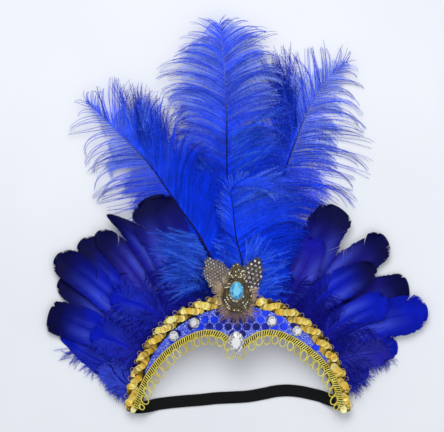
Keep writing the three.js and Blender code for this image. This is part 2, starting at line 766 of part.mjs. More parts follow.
function bead(from, to) {
  const run = to.clone().sub(from);
  const bar = new THREE.BoxGeometry(run.length(), BEAD_WIDTH, BEAD_HEIGHT + MEDALLION_THICKNESS / 2);
  bar.rotateZ(Math.atan2(run.y, run.x));
  const middle = from.clone().add(to).multiplyScalar(0.5);
  bar.translate(middle.x, middle.y, MEDALLION_THICKNESS + BEAD_HEIGHT / 2 - MEDALLION_THICKNESS / 4);
  return bar;
}

// A pad of down whose edge is notched into locks that show below and beside the medallion.
function downTuft() {
  const edge = [];
  for (let i = 0; i <= 2 * TUFT_LOCKS; i++) {
    const heading = THREE.MathUtils.lerp(Math.PI, 2 * Math.PI, i / (2 * TUFT_LOCKS));
    const reach = THREE.MathUtils.lerp(14, 21, Math.sin(heading - Math.PI));
    const share = i % 2 === 1 ? 1 : TUFT_NOTCH;
    edge.push(new THREE.Vector2(reach * share * Math.cos(heading), reach * share * Math.sin(heading)));
  }
  const outline = new THREE.Shape(edge);
  outline.absarc(0, 0, TUFT_RADIUS, 0.15, Math.PI - 0.15);
  return new THREE.ExtrudeGeometry(outline, { depth: TUFT_THICKNESS, bevelEnabled: false, curveSegments: 6 });
}

function elasticStrap() {
  const curve = new THREE.CatmullRomCurve3(STRAP_ROUTE.map((p) => new THREE.Vector3(p.x, p.y, p.z)));
  const rings = [];
  for (let i = 0; i <= STRAP_STATIONS; i++) {
    const middle = curve.getPointAt(i / STRAP_STATIONS);
    const tangent = curve.getTangentAt(i / STRAP_STATIONS);
    const across = new THREE.Vector3(-tangent.y, tangent.x, 0).setLength(STRAP_WIDTH / 2);
    const floor = Math.max(0, middle.z);
    const [upper, lower] = [middle.clone().add(across), middle.clone().sub(across)];
    rings.push([
      upper.clone().setZ(floor),
      lower.clone().setZ(floor),
      lower.clone().setZ(floor + STRAP_THICKNESS),
      upper.clone().setZ(floor + STRAP_THICKNESS),
    ]);
  }
  return loft(rings);
}

// The assembly, back to front
addPiece("elastic_strap", elasticStrap(), "strap");
GOOSE_LEFT.forEach((row, i) => addPiece(`goose_left_${i + 1}`, gooseFeather(row), "goose"));
GOOSE_RIGHT.forEach((row, i) => addPiece(`goose_right_${i + 1}`, gooseFeather(row), "goose"));
PLUMES.forEach((row) => addPiece(row.name, plume(row), "ostrich"));
addPiece("band_base", bandBase(), "felt");
addPiece("band_cloth", bandCloth(), "cloth");
addPiece("braid_left", braid(-1), "gold");
addPiece("braid_right", braid(1), "gold");
addPiece("gimp_head", gimpHead(), "gold");
addPiece("gimp_loops", gimpLoops(), "gold");

ROUND_STONES.forEach((row, i) => {
  const outline = ovalOutline(ROUND_STONE_DIAMETER, ROUND_STONE_DIAMETER, 8);
  const stone = addPiece(`stone_round_${i + 1}`, cutStone(outline, ROUND_STONE_DEPTH), "crystal");
  const place = onArch(row.angle, row.radius);
  setStone(stone, place.x, place.y, BASE_THICKNESS + GAP + CLOTH_THICKNESS + GAP);
});
const drop = addPiece("stone_drop", cutStone(pearOutline(DROP_WIDTH, DROP_HEIGHT, 12), DROP_DEPTH), "crystal");
setStone(drop, DROP_CENTRE.x, DROP_CENTRE.y, gimpLift() + GIMP_HEAD_THICKNESS + GAP);

const tuft = addPiece("down_tuft", downTuft(), "down");
tuft.position.set(TUFT_CENTRE.x, TUFT_CENTRE.y, tuftBack);
GUINEA.forEach((row) => addPiece(row.name, guineaFeather(row), "guinea"));
const brooch = addPiece("medallion", medallion(), "bronze");
brooch.position.set(MEDALLION_CENTRE.x, MEDALLION_CENTRE.y, medallionBack);
const gem = addPiece("gem_oval", cutStone(ovalOutline(GEM_WIDTH, GEM_HEIGHT, 12), GEM_DEPTH), "aqua");
gem.position.set(MEDALLION_CENTRE.x, MEDALLION_CENTRE.y + GEM_RISE, gemBack);

// The origin is on the surface that the headdress lies on, under the middle of its outline.
const extent = new THREE.Box3().setFromObject(pieces);
const middle = extent.getCenter(new THREE.Vector3());
pieces.position.set(-middle.x, -middle.y, -extent.min.z);

const headdress = new THREE.Group();
headdress.add(pieces);

export default headdress;
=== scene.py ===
import math

import bpy
import numpy as np
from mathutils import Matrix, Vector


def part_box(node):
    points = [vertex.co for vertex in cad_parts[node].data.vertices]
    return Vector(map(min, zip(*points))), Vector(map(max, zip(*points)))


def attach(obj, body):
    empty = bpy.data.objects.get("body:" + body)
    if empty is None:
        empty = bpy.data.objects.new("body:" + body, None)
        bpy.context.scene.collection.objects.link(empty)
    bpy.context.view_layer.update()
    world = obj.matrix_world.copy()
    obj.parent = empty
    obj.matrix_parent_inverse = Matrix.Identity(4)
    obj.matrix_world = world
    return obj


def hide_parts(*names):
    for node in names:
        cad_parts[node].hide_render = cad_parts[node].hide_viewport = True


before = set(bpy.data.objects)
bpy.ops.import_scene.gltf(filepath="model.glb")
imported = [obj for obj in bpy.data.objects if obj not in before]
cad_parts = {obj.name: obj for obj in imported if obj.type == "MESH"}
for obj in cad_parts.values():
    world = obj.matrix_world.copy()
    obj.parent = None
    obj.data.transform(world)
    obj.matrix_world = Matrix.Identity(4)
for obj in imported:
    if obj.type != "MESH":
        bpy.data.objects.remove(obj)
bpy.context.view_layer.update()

# Drawing coordinates are millimetres as in the solids: x right, y up the photo, z off the floor.
# The oval stone is at (-2.5, 115) there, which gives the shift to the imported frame.
GEM_AT = (-2.5, 115.0)
MEDALLION_AT = (-2.5, 110.0)
gem_low, gem_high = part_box("gem_oval")
SHIFT = np.array([
    (gem_low[0] + gem_high[0]) * 500 - GEM_AT[0],
    (gem_low[1] + gem_high[1]) * 500 - GEM_AT[1],
    0.0,
])
PHOTO_CENTRE = (-17.0, 189.0)
PHOTO_PLANE_Z = 12.0
PHOTO_WIDTH_M = 0.444
FLOOR_HALF = 4.0
FLOOR_Z = -0.0003
UP = np.array([0.0, 0.0, 1.0])


# Colours and small maths

def srgb(red, green, blue):
    c = np.array([red, green, blue], float) / 255
    return np.where(c <= 0.04045, c / 12.92, ((c + 0.055) / 1.055) ** 2.4)


def smooth(low, high, x):
    t = np.clip((x - low) / (high - low), 0, 1)
    return t * t * (3 - 2 * t)


def lerp(a, b, t):
    return a + (b - a) * t


def unit(v):
    return v / np.maximum(np.linalg.norm(v, axis=-1, keepdims=True), 1e-9)


def circle(count):
    return np.linspace(0, 2 * math.pi, count, endpoint=False)


def heading(way):
    return np.arctan2(way[:, 1], way[:, 0])[:, None]


def walk(foot, head, step, z, at_foot=False):
    """Lines from the points foot along the headings in head, the first step left out at_foot."""
    dx, dy = (
        np.cumsum(turn(head) * step, axis=1) - (turn(head[:, :1]) * step if at_foot else 0)
        for turn in (np.cos, np.sin)
    )
    return np.stack([foot[:, :1] + dx, foot[:, 1:2] + dy, z], -1)


def mm(points):
    return (np.asarray(points, float) + SHIFT) * 0.001


def through(points, count):
    """Evenly spaced points on a centripetal Catmull-Rom curve through the given ones."""
    p = np.asarray(points, float)
    p = np.vstack([2 * p[0] - p[1], p, 2 * p[-1] - p[-2]])
    out = []
    for i in range(1, len(p) - 2):
        q = p[i - 1:i + 3]
        k = np.concatenate([[0], np.cumsum(np.sqrt(np.linalg.norm(np.diff(q, axis=0), axis=1)))])
        t = np.linspace(k[1], k[2], 40, endpoint=False)[:, None]
        a = [((k[j + 1] - t) * q[j] + (t - k[j]) * q[j + 1]) / (k[j + 1] - k[j]) for j in range(3)]
        b = [((k[j + 2] - t) * a[j] + (t - k[j]) * a[j + 1]) / (k[j + 2] - k[j]) for j in range(2)]
        out.append(((k[2] - t) * b[0] + (t - k[1]) * b[1]) / (k[2] - k[1]))
    line = np.vstack(out + [p[-2:-1]])
    far = np.concatenate([[0], np.cumsum(np.linalg.norm(np.diff(line, axis=0), axis=1))])
    want = np.linspace(0, far[-1], count)
    return np.stack([np.interp(want, far, line[:, k]) for k in range(3)], axis=1)


def on_line(line, share):
    """Points and directions at shares of an evenly spaced line."""
    at = np.clip(share, 0, 1) * (len(line) - 1)
    base = np.arange(len(line))
    slope = np.gradient(line, axis=0)
    point = np.stack([np.interp(at, base, line[:, k]) for k in range(3)], axis=-1)
    way = np.stack([np.interp(at, base, slope[:, k]) for k in range(3)], axis=-1)
    return point, unit(way)


# Meshes from arrays

def put(name, data):
    made = bpy.data.objects.new(name, data)
    bpy.context.scene.collection.objects.link(made)
    return made


class Soup:
    """Collects points, faces and point colours of one piece."""

    def __init__(self):
        self.points, self.colours, self.faces, self.count = [], [], [], 0

    def add(self, points, faces, colour):
        points = np.asarray(points, float).reshape(-1, 3)
        colour = np.asarray(colour, float)
        if colour.ndim == 1:
            colour = np.broadcast_to(colour, points.shape)
        self.points.append(points)
        self.colours.append(colour.reshape(-1, 3))
        self.faces.extend((np.asarray(faces) + self.count).tolist())
        self.count += len(points)

    def cap(self, base, rows, sides):
        """Closes both ends of a tube of rows rings that starts at the point base."""
        self.faces.append(list(range(base, base + sides))[::-1])
        self.faces.append(list(range(base + (rows - 1) * sides, base + rows * sides)))

    def dish(self, points, sides, colour):
        """A sequin: an outer ring, an inner ring and a middle point."""
        inner, middle = self.count + sides, self.count + 2 * sides
        self.add(points, grid_faces(2, sides, closed=True), colour)
        self.faces.extend([inner + k, inner + (k + 1) % sides, middle] for k in range(sides))

    def piece(self, name, finish, nodes=(), soft_edges=True):
        mesh = bpy.data.meshes.new(name)
        mesh.from_pydata(mm(np.vstack(self.points)).tolist(), [], self.faces)
        tint = mesh.color_attributes.new("tint", "FLOAT_COLOR", "POINT")
        rgba = np.ones((self.count, 4), np.float32)
        rgba[:, :3] = np.clip(np.vstack(self.colours), 0, 1)
        tint.data.foreach_set("color", rgba.ravel())
        mesh.polygons.foreach_set("use_smooth", [soft_edges] * len(mesh.polygons))
        mesh.materials.append(finish)
        made = put(name, mesh)
        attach(made, "root")
        if nodes:
            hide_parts(*nodes)
        return made


def grid_faces(rows, columns, closed=False):
    """Quads of a rows x columns grid of points; closed joins the last column to the first."""
    index = np.arange(rows * columns).reshape(rows, columns)
    if closed:
        index = np.hstack([index, index[:, :1]])
    return np.stack([index[:-1, :-1], index[:-1, 1:], index[1:, 1:], index[1:, :-1]], -1).reshape(-1, 4)


def ribbons(soup, lines, side, half, colours):
    """One flat strip along each of n lines of m points."""
    n, m, _ = lines.shape
    reach = side * np.broadcast_to(half, (n, m))[..., None]
    points = np.stack([lines - reach, lines + reach], axis=2)
    one = grid_faces(m, 2)
    faces = (one[None] + (np.arange(n) * m * 2)[:, None, None]).reshape(-1, 4)
    soup.add(points, faces, np.repeat(colours[:, :, None, :], 2, axis=2).reshape(-1, 3))


def tube(soup, path, radius, colour, sides=6, loop=False, squash=1.0):
    """A round tube along a path, capped unless it is a loop."""
    path = np.asarray(path, float)
    n = len(path)
    if loop:
        way = unit(np.roll(path, -1, 0) - np.roll(path, 1, 0))
    else:
        way = unit(np.gradient(path, axis=0))
    side = np.cross(way, UP)
    side = np.where(np.linalg.norm(side, axis=1, keepdims=True) < 1e-3, [[1.0, 0, 0]], side)
    side = unit(side)
    lift = np.cross(side, way)
    turn = circle(sides)[None, :, None]
    radius = np.broadcast_to(radius, (n,))[:, None, None]
    ring = side[:, None] * np.cos(turn) + lift[:, None] * np.sin(turn) * squash
    points = (path[:, None] + ring * radius).reshape(-1, 3)
    index = grid_faces(n + loop, sides, closed=True) % (n * sides)
    colour = np.asarray(colour, float)
    if colour.ndim == 2:
        colour = np.repeat(colour, sides, axis=0)
    base = soup.count
    soup.add(points, index, colour)
    if not loop:
        soup.cap(base, n, sides)


def ball(soup, centre, radius, colour, stretch):
    """A bead, squeezed upright by stretch."""
    rings, sides = 5, 8
    up = np.linspace(-math.pi / 2, math.pi / 2, rings + 2)[1:-1]
    turn = circle(sides)
    x = np.cos(up)[:, None] * np.cos(turn)
    y = np.cos(up)[:, None] * np.sin(turn)
    z = np.repeat(np.sin(up)[:, None], sides, 1) * stretch
    points = np.stack([x, y, z], -1).reshape(-1, 3) * radius + centre
    base = soup.count
    soup.add(points, grid_faces(rings, sides, closed=True), colour)
    soup.cap(base, rings, sides)


BARBULE_LEAN = 0.75
FLOOR_CLEARANCE = 0.25


def strands(soup, lines, colours, draw, half, barbules, reach, fine=None, thin=0.32, bare=0.72):
    """Feather barbs: a thin strip along each line with fine barbules on both sides.
    The barbules take the colours in fine, and die out from the share bare to the tip."""
    n, m, _ = lines.shape
    colours = np.broadcast_to(colours, lines.shape)
    way = unit(np.gradient(lines, axis=1))
    side = unit(np.cross(way, UP))
    taper = np.linspace(1, 0.4, m)[None]
    ribbons(soup, lines, side, half * taper, colours)
    fine = colours if fine is None else fine
    at = (np.arange(barbules)[None] + draw.uniform(0.1, 0.9, (n, barbules))) / barbules * (m - 1)
    low = np.minimum(at.astype(int), m - 2)
    part = (at - low)[..., None]
    pick = np.arange(n)[:, None]
    foot = lerp(lines[pick, low], lines[pick, low + 1], part)
    along = unit(lerp(way[pick, low], way[pick, low + 1], part))
    across = unit(lerp(side[pick, low], side[pick, low + 1], part))
    tone = lerp(fine[pick, low], fine[pick, low + 1], part)
    share = at / (m - 1)
    body = smooth(0, 0.08, share) * (1 - 0.8 * smooth(bare, 1, share))
    reach = np.broadcast_to(reach, (n,))[:, None]
    for hand in (-1, 1):
        long = reach * body * draw.uniform(0.6, 1.25, (n, barbules))
        lean = BARBULE_LEAN + draw.uniform(-0.25, 0.25, (n, barbules))
        rise = draw.uniform(-0.55, 0.35, (n, barbules))
        head = along * np.cos(lean)[..., None] + across * (hand * np.sin(lean))[..., None]
        head = unit(head + UP * rise[..., None])
        tip = foot + head * long[..., None]
        tip[..., 2] = np.maximum(tip[..., 2], FLOOR_CLEARANCE)
        corners = np.stack([foot - along * thin / 2, foot + along * thin / 2, tip], axis=2)
        faces = np.arange(n * barbules * 3).reshape(-1, 3)
        faces = faces if hand < 0 else faces[:, ::-1]
        shade = draw.uniform(0.8, 1.15, (n, barbules, 1))
        both = np.repeat((tone * shade)[:, :, None], 3, axis=2)
        soup.add(corners, faces, both.reshape(-1, 3))


# Materials

class Finish:
    """A material of procedural nodes round one Principled shader."""

    def __init__(self, name, rough, metal=0.0, sheen=0.0, coat=0.0, specular=0.5):
        self.made = bpy.data.materials.new(name)
        self.made.use_nodes = True
        self.tree = self.made.node_tree
        self.face = self.tree.nodes["Principled BSDF"]
        self.fill(self.face, Roughness=rough, Metallic=metal, Sheen_Weight=sheen, Coat_Weight=coat,
                  Specular_IOR_Level=specular)
        self.place = self.node("TexCoord")["Object"]

    def fill(self, node, **values):
        """Sets a node's inputs, and links those whose value is a socket."""
        for name, value in values.items():
            socket = node.inputs[name.replace("_", " ")]
            if isinstance(value, bpy.types.NodeSocket):
                self.tree.links.new(value, socket)
            else:
                socket.default_value = value
        return node.outputs

    def node(self, kind, **values):
        return self.fill(self.tree.nodes.new("ShaderNode" + kind), **values)

    def noise(self, scale, detail=3.0):
        return self.node("TexNoise", Vector=self.place, Scale=scale, Detail=detail)["Fac"]

    def ramp(self, source, *stops):
        made = self.tree.nodes.new("ShaderNodeValToRGB")
        band = made.color_ramp
        while len(band.elements) < len(stops):
            band.elements.new(0.5)
        for element, (place, colour) in zip(band.elements, stops):
            element.position = place
            element.color = (*colour, 1)
        return self.fill(made, Fac=source)["Color"]

    def times(self, one, two):
        made = self.tree.nodes.new("ShaderNodeMix")
        made.data_type, made.blend_type = "RGBA", "MULTIPLY"
        made.inputs["Factor"].default_value = 1
        self.tree.links.new(one, made.inputs[6])
        self.tree.links.new(two, made.inputs[7])
        return made.outputs[2]

    def spread(self, source, low, high):
        made = self.node("MapRange", Value=source, From_Min=0.3, From_Max=0.7, To_Min=low, To_Max=high)
        return made["Result"]

    def paint(self, colour, rough):
        self.fill(self.face, Base_Color=colour, Roughness=rough)

    def bump(self, height, strength, depth):
        relief = self.node("Bump", Height=height, Strength=strength, Distance=depth)
        self.fill(self.face, Normal=relief["Normal"])


def tinted(name, rough, mottle, grain, relief, **kind):
    """A finish whose colour is the piece's own point colour, mottled, with fine relief.
    rough is (low, high), mottle (scale, darkest, lightest), relief (scale, strength, depth)."""
    new = Finish(name, rough[0], **kind)
    tint = new.tree.nodes.new("ShaderNodeAttribute")
    tint.attribute_name = "tint"
    scale, dark, light = mottle
    shade = new.ramp(new.noise(scale), (0.3, (dark,) * 3), (0.7, (light,) * 3))
    new.paint(new.times(tint.outputs["Color"], shade), new.spread(new.noise(grain), *rough))
    new.bump(new.noise(relief[0]), *relief[1:])
    return new.made


OSTRICH = tinted("ostrich", (0.5, 0.75), (70, 0.82, 1.12), 900, (1500, 0.3, 0.0003), specular=0.06)
GOOSE = tinted("goose", (0.42, 0.62), (60, 0.82, 1.15), 1200, (1800, 0.25, 0.0003), specular=0.05)
GUINEA = tinted("guinea", (0.5, 0.75), (150, 0.85, 1.1), 1200, (1800, 0.3, 0.0003), sheen=0.1)
DOWN = tinted("down", (0.6, 0.85), (200, 0.8, 1.15), 1000, (1500, 0.3, 0.0003), sheen=0.3)
GOLD_SEQUIN = tinted("gold_sequin", (0.22, 0.4), (260, 0.85, 1.1), 900, (900, 0.15, 0.0002), metal=0.12)
GOLD_CORD = tinted("gold_cord", (0.32, 0.5), (300, 0.75, 1.15), 1500, (2200, 0.4, 0.0003), metal=0.25)
BRONZE = tinted(
    "bronze_beads", (0.16, 0.34), (400, 0.6, 1.2), 1200, (1500, 0.15, 0.0002), metal=0.4, coat=0.4)
CRYSTAL = tinted("crystal", (0.04, 0.1), (500, 0.9, 1.05), 600, (300, 0.02, 0.0001), coat=1.0, specular=0.9)
AQUA = tinted("aqua_stone", (0.04, 0.1), (500, 0.9, 1.08), 600, (300, 0.02, 0.0001), coat=1.0, specular=0.9)
SEQUIN = tinted(
    "sequin_blue", (0.2, 0.34), (220, 0.8, 1.2), 700, (500, 0.1, 0.0002), metal=0.5, coat=0.1, specular=0.25)


def felt_finish():
    new = Finish("felt", 0.9, sheen=0.15)
    cloud = new.noise(700, 5)
    shade = new.ramp(cloud, (0.3, srgb(14, 14, 20)), (0.7, srgb(40, 40, 48)))
    new.paint(shade, new.spread(cloud, 0.8, 0.98))
    new.bump(new.noise(2200, 2), 0.6, 0.0004)
    return new.made


def glitter_finish():
    new = Finish("sequin_cloth", 0.4, metal=0.25, coat=0.3)
    flake = new.node("TexVoronoi", Vector=new.place, Scale=1500)["Color"]
    grey = new.node("SeparateColor", Color=flake)
    # The lightest flake tones, up to near white, are painted glints on the cloth's small sequins.
    shade = new.ramp(
        grey["Red"], (0.0, srgb(20, 36, 190)), (0.55, srgb(56, 84, 230)),
        (0.85, srgb(116, 138, 248)), (1.0, srgb(232, 236, 255)))
    new.paint(shade, new.spread(grey["Green"], 0.22, 0.5))
    new.bump(grey["Blue"], 0.5, 0.0004)
    return new.made


def elastic_finish():
    new = Finish("elastic", 0.8, sheen=0.02, specular=0.15)
    cloud = new.noise(900, 3)
    shade = new.ramp(cloud, (0.3, srgb(6, 7, 8)), (0.7, srgb(18, 20, 21)))
    new.paint(shade, new.spread(cloud, 0.7, 0.92))
    weave = new.node("TexWave", Vector=new.place, Scale=260, Distortion=0.6)["Fac"]
    new.bump(weave, 0.5, 0.0003)
    return new.made


def floor_finish():
    new = Finish("floor", 0.75)
    shade = new.ramp(new.noise(6, 2), (0.2, srgb(232, 235, 241)), (0.8, srgb(240, 243, 248)))
    new.fill(new.face, Base_Color=shade)
    return new.made


# The band is bent as in the solids; the gimp's ends flare out as in the photo

BAND_RADIUS = 110.0
BAND_DEPTH = 28.0
BAND_LIFT = 4.5
BEND = (BAND_RADIUS ** 2 + BAND_DEPTH ** 2) / (2 * BAND_DEPTH)
GIMP_LINE = [  # angle, radius
    (0, 60), (8, 66), (16, 74.5), (25, 80.5), (38, 84.5),
    (50, 88), (62, 91.5), (75, 95.5), (88, 98), (92, 98.6),
]
GIMP_FLARE_LEFT = ((70, 78, 88, 92), (0, 1.0, 3.0, 3.4))
GIMP_FLARE_RIGHT = ((50, 62, 72, 88, 92), (0, 1.4, 2.6, 3.3, 3.5))
GIMP_POINTS = 400


def band_back(x):
    """Height of the bent band's back at x."""
    x = np.clip(x, -BAND_RADIUS, BAND_RADIUS)
    return BAND_LIFT + np.sqrt(BEND ** 2 - x ** 2) - (BEND - BAND_DEPTH)


def band_slope(x):
    return -x / math.sqrt(BEND ** 2 - x ** 2)


def on_arch(angle, radius, above=0.0):
    """The point at an angle from the middle of the band, above its back."""
    turn = np.radians(angle)
    x = radius * np.sin(turn)
    y = radius * np.cos(turn)
    return np.stack([x, y, band_back(x) + above], -1)


GIMP_ANGLES = [-a for a, r in GIMP_LINE[:0:-1]] + [a for a, r in GIMP_LINE]
GIMP_RADII = [r + np.interp(a, *GIMP_FLARE_LEFT) for a, r in GIMP_LINE[:0:-1]]
GIMP_RADII += [r + np.interp(a, *GIMP_FLARE_RIGHT) for a, r in GIMP_LINE]


def gimp_radius(angle):
    return np.interp(angle, GIMP_ANGLES, GIMP_RADII)


GIMP_CURVE = through(on_arch(np.array(GIMP_ANGLES, float), np.array(GIMP_RADII, float)), GIMP_POINTS)


# Camera, floor and light

def set_the_stage():
    mesh = bpy.data.meshes.new("floor")
    corners = ((-1, -1), (1, -1), (1, 1), (-1, 1))
    mesh.from_pydata([(x * FLOOR_HALF, y * FLOOR_HALF, FLOOR_Z) for x, y in corners], [], [(0, 1, 2, 3)])
    mesh.materials.append(floor_finish())
    floor = put("floor", mesh)

    lens = bpy.data.cameras.new("camera")
    lens.sensor_width = 36
    lens.lens = 200
    eye = put("camera", lens)
    middle = mm([*PHOTO_CENTRE, PHOTO_PLANE_Z])
    eye.location = (middle[0], middle[1], middle[2] + PHOTO_WIDTH_M * lens.lens / lens.sensor_width)
    bpy.context.scene.camera = eye

    for name, place, size, power in (
        ("key", (-0.15, 0.9, 1.38), 1.0, 15.5),
        ("fill", (0.5, -0.5, 1.6), 1.6, 7),
    ):
        lamp = bpy.data.lights.new(name, "AREA")
        lamp.size = size
        lamp.energy = power
        made = put(name, lamp)
        made.location = place
        toward = -np.array(place)
        made.rotation_euler = (
            math.atan2(math.hypot(toward[0], toward[1]), -toward[2]),
            0,
            math.atan2(toward[1], toward[0]) - math.pi / 2,
        )

    world = bpy.data.worlds.new("studio")
    world.use_nodes = True
    sky = world.node_tree.nodes["Background"]
    sky.inputs["Color"].default_value = (0.93, 0.95, 1.0, 1)
    sky.inputs["Strength"].default_value = 0.44
    bpy.context.scene.world = world
    bpy.context.scene.view_settings.view_transform = "Standard"


# Ostrich plumes: quill points, then rows of (along, turn, length, drop, curl) on each side, and loose
# groups of (first, last, side, count, reach, turns, lengths, tones)

# ROYAL_LIT and the palest blue below are painted light: lighter blues that stand in for light falling on and
# shining through the thin upper barbs.
ROYAL = srgb(4, 60, 248)
ROYAL_DEEP = srgb(12, 36, 164)
ROYAL_LIT = srgb(62, 116, 255)
ROYAL_PAINTED_LIGHT = srgb(148, 170, 255)
QUILL = srgb(20, 26, 90)
QUILL_TIP = srgb(110, 130, 214)

SHADE = (ROYAL_DEEP * 0.3, ROYAL_DEEP * 0.8)
PLAIN = (ROYAL, ROYAL_LIT)
MIXED = (ROYAL * 0.5, ROYAL_LIT * 0.92)
DEEP = (ROYAL_DEEP * 0.6, ROYAL * 0.7)

# Each plume's pair of light shares says how strongly the web on each side is lightened by painted light
# towards its upper end.
PLUMES = {
    "plume_right": dict(
        quill=[(6, 98, 26.5), (13, 122, 19), (33, 192, 7), (54, 257, 3.6), (73, 302, 3.2), (90, 328, 5),
               (108, 343, 8)],
        left=[(0.1, 45, 40, 0.4, -4), (0.4, 40, 74, 0.6, -4), (0.55, 32, 96, 0.8, 0),
              (0.66, 36, 88, 0.8, -2), (0.78, 38, 66, 0.6, 0), (0.9, 40, 40, 0.4, 0), (1, 20, 13, 0, 0)],
        right=[(0.15, 60, 52, 2, 20), (0.4, 66, 80, 2.6, 28), (0.6, 60, 84, 2.4, 32),
               (0.75, 50, 70, 2, 36), (0.88, 38, 45, 0.6, 34), (1, 18, 13, 0, 16)],
        painted_light=(0.9, 1.2), hook=(0, 40), pitch=(1.2, 1.7), locks=(2, 3), airy=0.4, soft=(0.74, 0.66),
        loose=[(0.56, 0.68, 1, 110, 90, (26, 38), (0.6, 1.0), DEEP)]),
    "plume_center": dict(
        quill=[(2.4, 98, 26.5), (-4, 130, 19), (-9, 180, 11), (-12, 240, 8), (-12.5, 297, 8),
               (-16, 350, 11), (-20, 381, 15)],
        left=[(0.12, 56, 44, 1, 12), (0.4, 54, 68, 1, 24), (0.78, 48, 76, 1, 38),
              (0.92, 40, 45, 0.5, 38), (1, 22, 11, 0, 14)],
        right=[(0.12, 60, 44, 1, 8), (0.4, 62, 66, 1, 14), (0.78, 53, 76, 1, 26),
               (0.92, 46, 49, 0.5, 34), (1, 24, 11, 0, 12)],
        painted_light=(1.0, 0.75), hook=(5, 60), pitch=(0.9, 0.85), locks=(3, 3), soft=(0.84, 0.82), loose=[
            (0.3, 0.48, 1, 70, 64, (50, 78), (0.5, 1.0), MIXED),
            (0.36, 0.6, -1, 70, 66, (46, 72), (0.5, 1.0), MIXED),
            (0.0, 0.12, 1, 70, 30, (8, 86), (0.4, 1.0), SHADE),
            (0.0, 0.12, -1, 70, 30, (8, 86), (0.4, 1.0), SHADE)]),
    "plume_left": dict(
        quill=[(-12, 98, 30), (-17, 122, 27.5), (-38, 167, 21), (-60, 198.5, 16), (-92, 243.5, 12.5),
               (-123, 274.5, 10), (-153, 304, 12)],
        left=[(0.3, 78, 68, 6, 0), (0.4, 72, 79, 12, 0), (0.55, 62, 75, 10, 8), (0.7, 51, 67, 8, 18),
              (0.88, 40, 43, 4, 26), (1, 22, 12, 1, 10)],
        right=[(0.14, 50, 56, 2, -4), (0.3, 46, 76, 1, -4), (0.45, 40, 86, -0.5, -4),
               (0.6, 36, 84, -0.5, -2), (0.74, 35, 70, -0.5, 0), (0.86, 36, 48, -0.5, 0),
               (1, 20, 11, 0, 0)],
        painted_light=(1.3, 0.3), hook=(-15, 85), pitch=(2.2, 0.85), locks=(3, 4), airy=0.9, soft=(0.62, 0.84), loose=[
            (0.0, 0.13, 1, 90, 34, (10, 88), (0.4, 1.0), SHADE),
            (0.09, 0.31, 1, 300, 53, (46, 92), (0.3, 1.05), MIXED),
            (0.58, 0.72, -1, 80, 66, (32, 48), (0.7, 1.0), DEEP)]),
    "plume_front": dict(
        quill=[(6, 98, 30), (3.5, 140, 30), (-3, 168, 29.6), (-6, 196, 29.4), (-8, 213, 30.5),
               (-3, 221, 32), (7, 226, 31.5)],
        left=[(0.08, 44, 20, 0, 0), (0.35, 42, 24, -0.5, 0), (0.7, 40, 26, -0.5, 0), (1, 24, 12, 0, 0)],
        right=[(0.06, 84, 44, 2, 10), (0.3, 70, 66, 4, 18), (0.55, 62, 84, 6, 22), (0.8, 60, 80, 6, 28),
               (0.9, 42, 70, 5, 26), (1, 14, 50, 4, 24)],
        painted_light=(0.15, 0.2), pitch=(0.7, 0.5), hook=(0, 40), locks=(4, 4), tip=QUILL, loose=[
            (0.03, 0.3, -1, 190, 46, (18, 88), (0.3, 1.0), PLAIN),
            (0.0, 0.14, 1, 60, 26, (8, 80), (0.4, 1.0), SHADE),
            (0.12, 0.4, 1, 80, 32, (14, 64), (0.4, 1.0), PLAIN)]),
}
BARB_STEPS = 14
LOOSE_STEPS = 10
QUILL_POINTS = 260
SOFT_BELOW = 1.2
SOFT_GAP = (1.1, 1.35)
SOFT_LOCK = 9


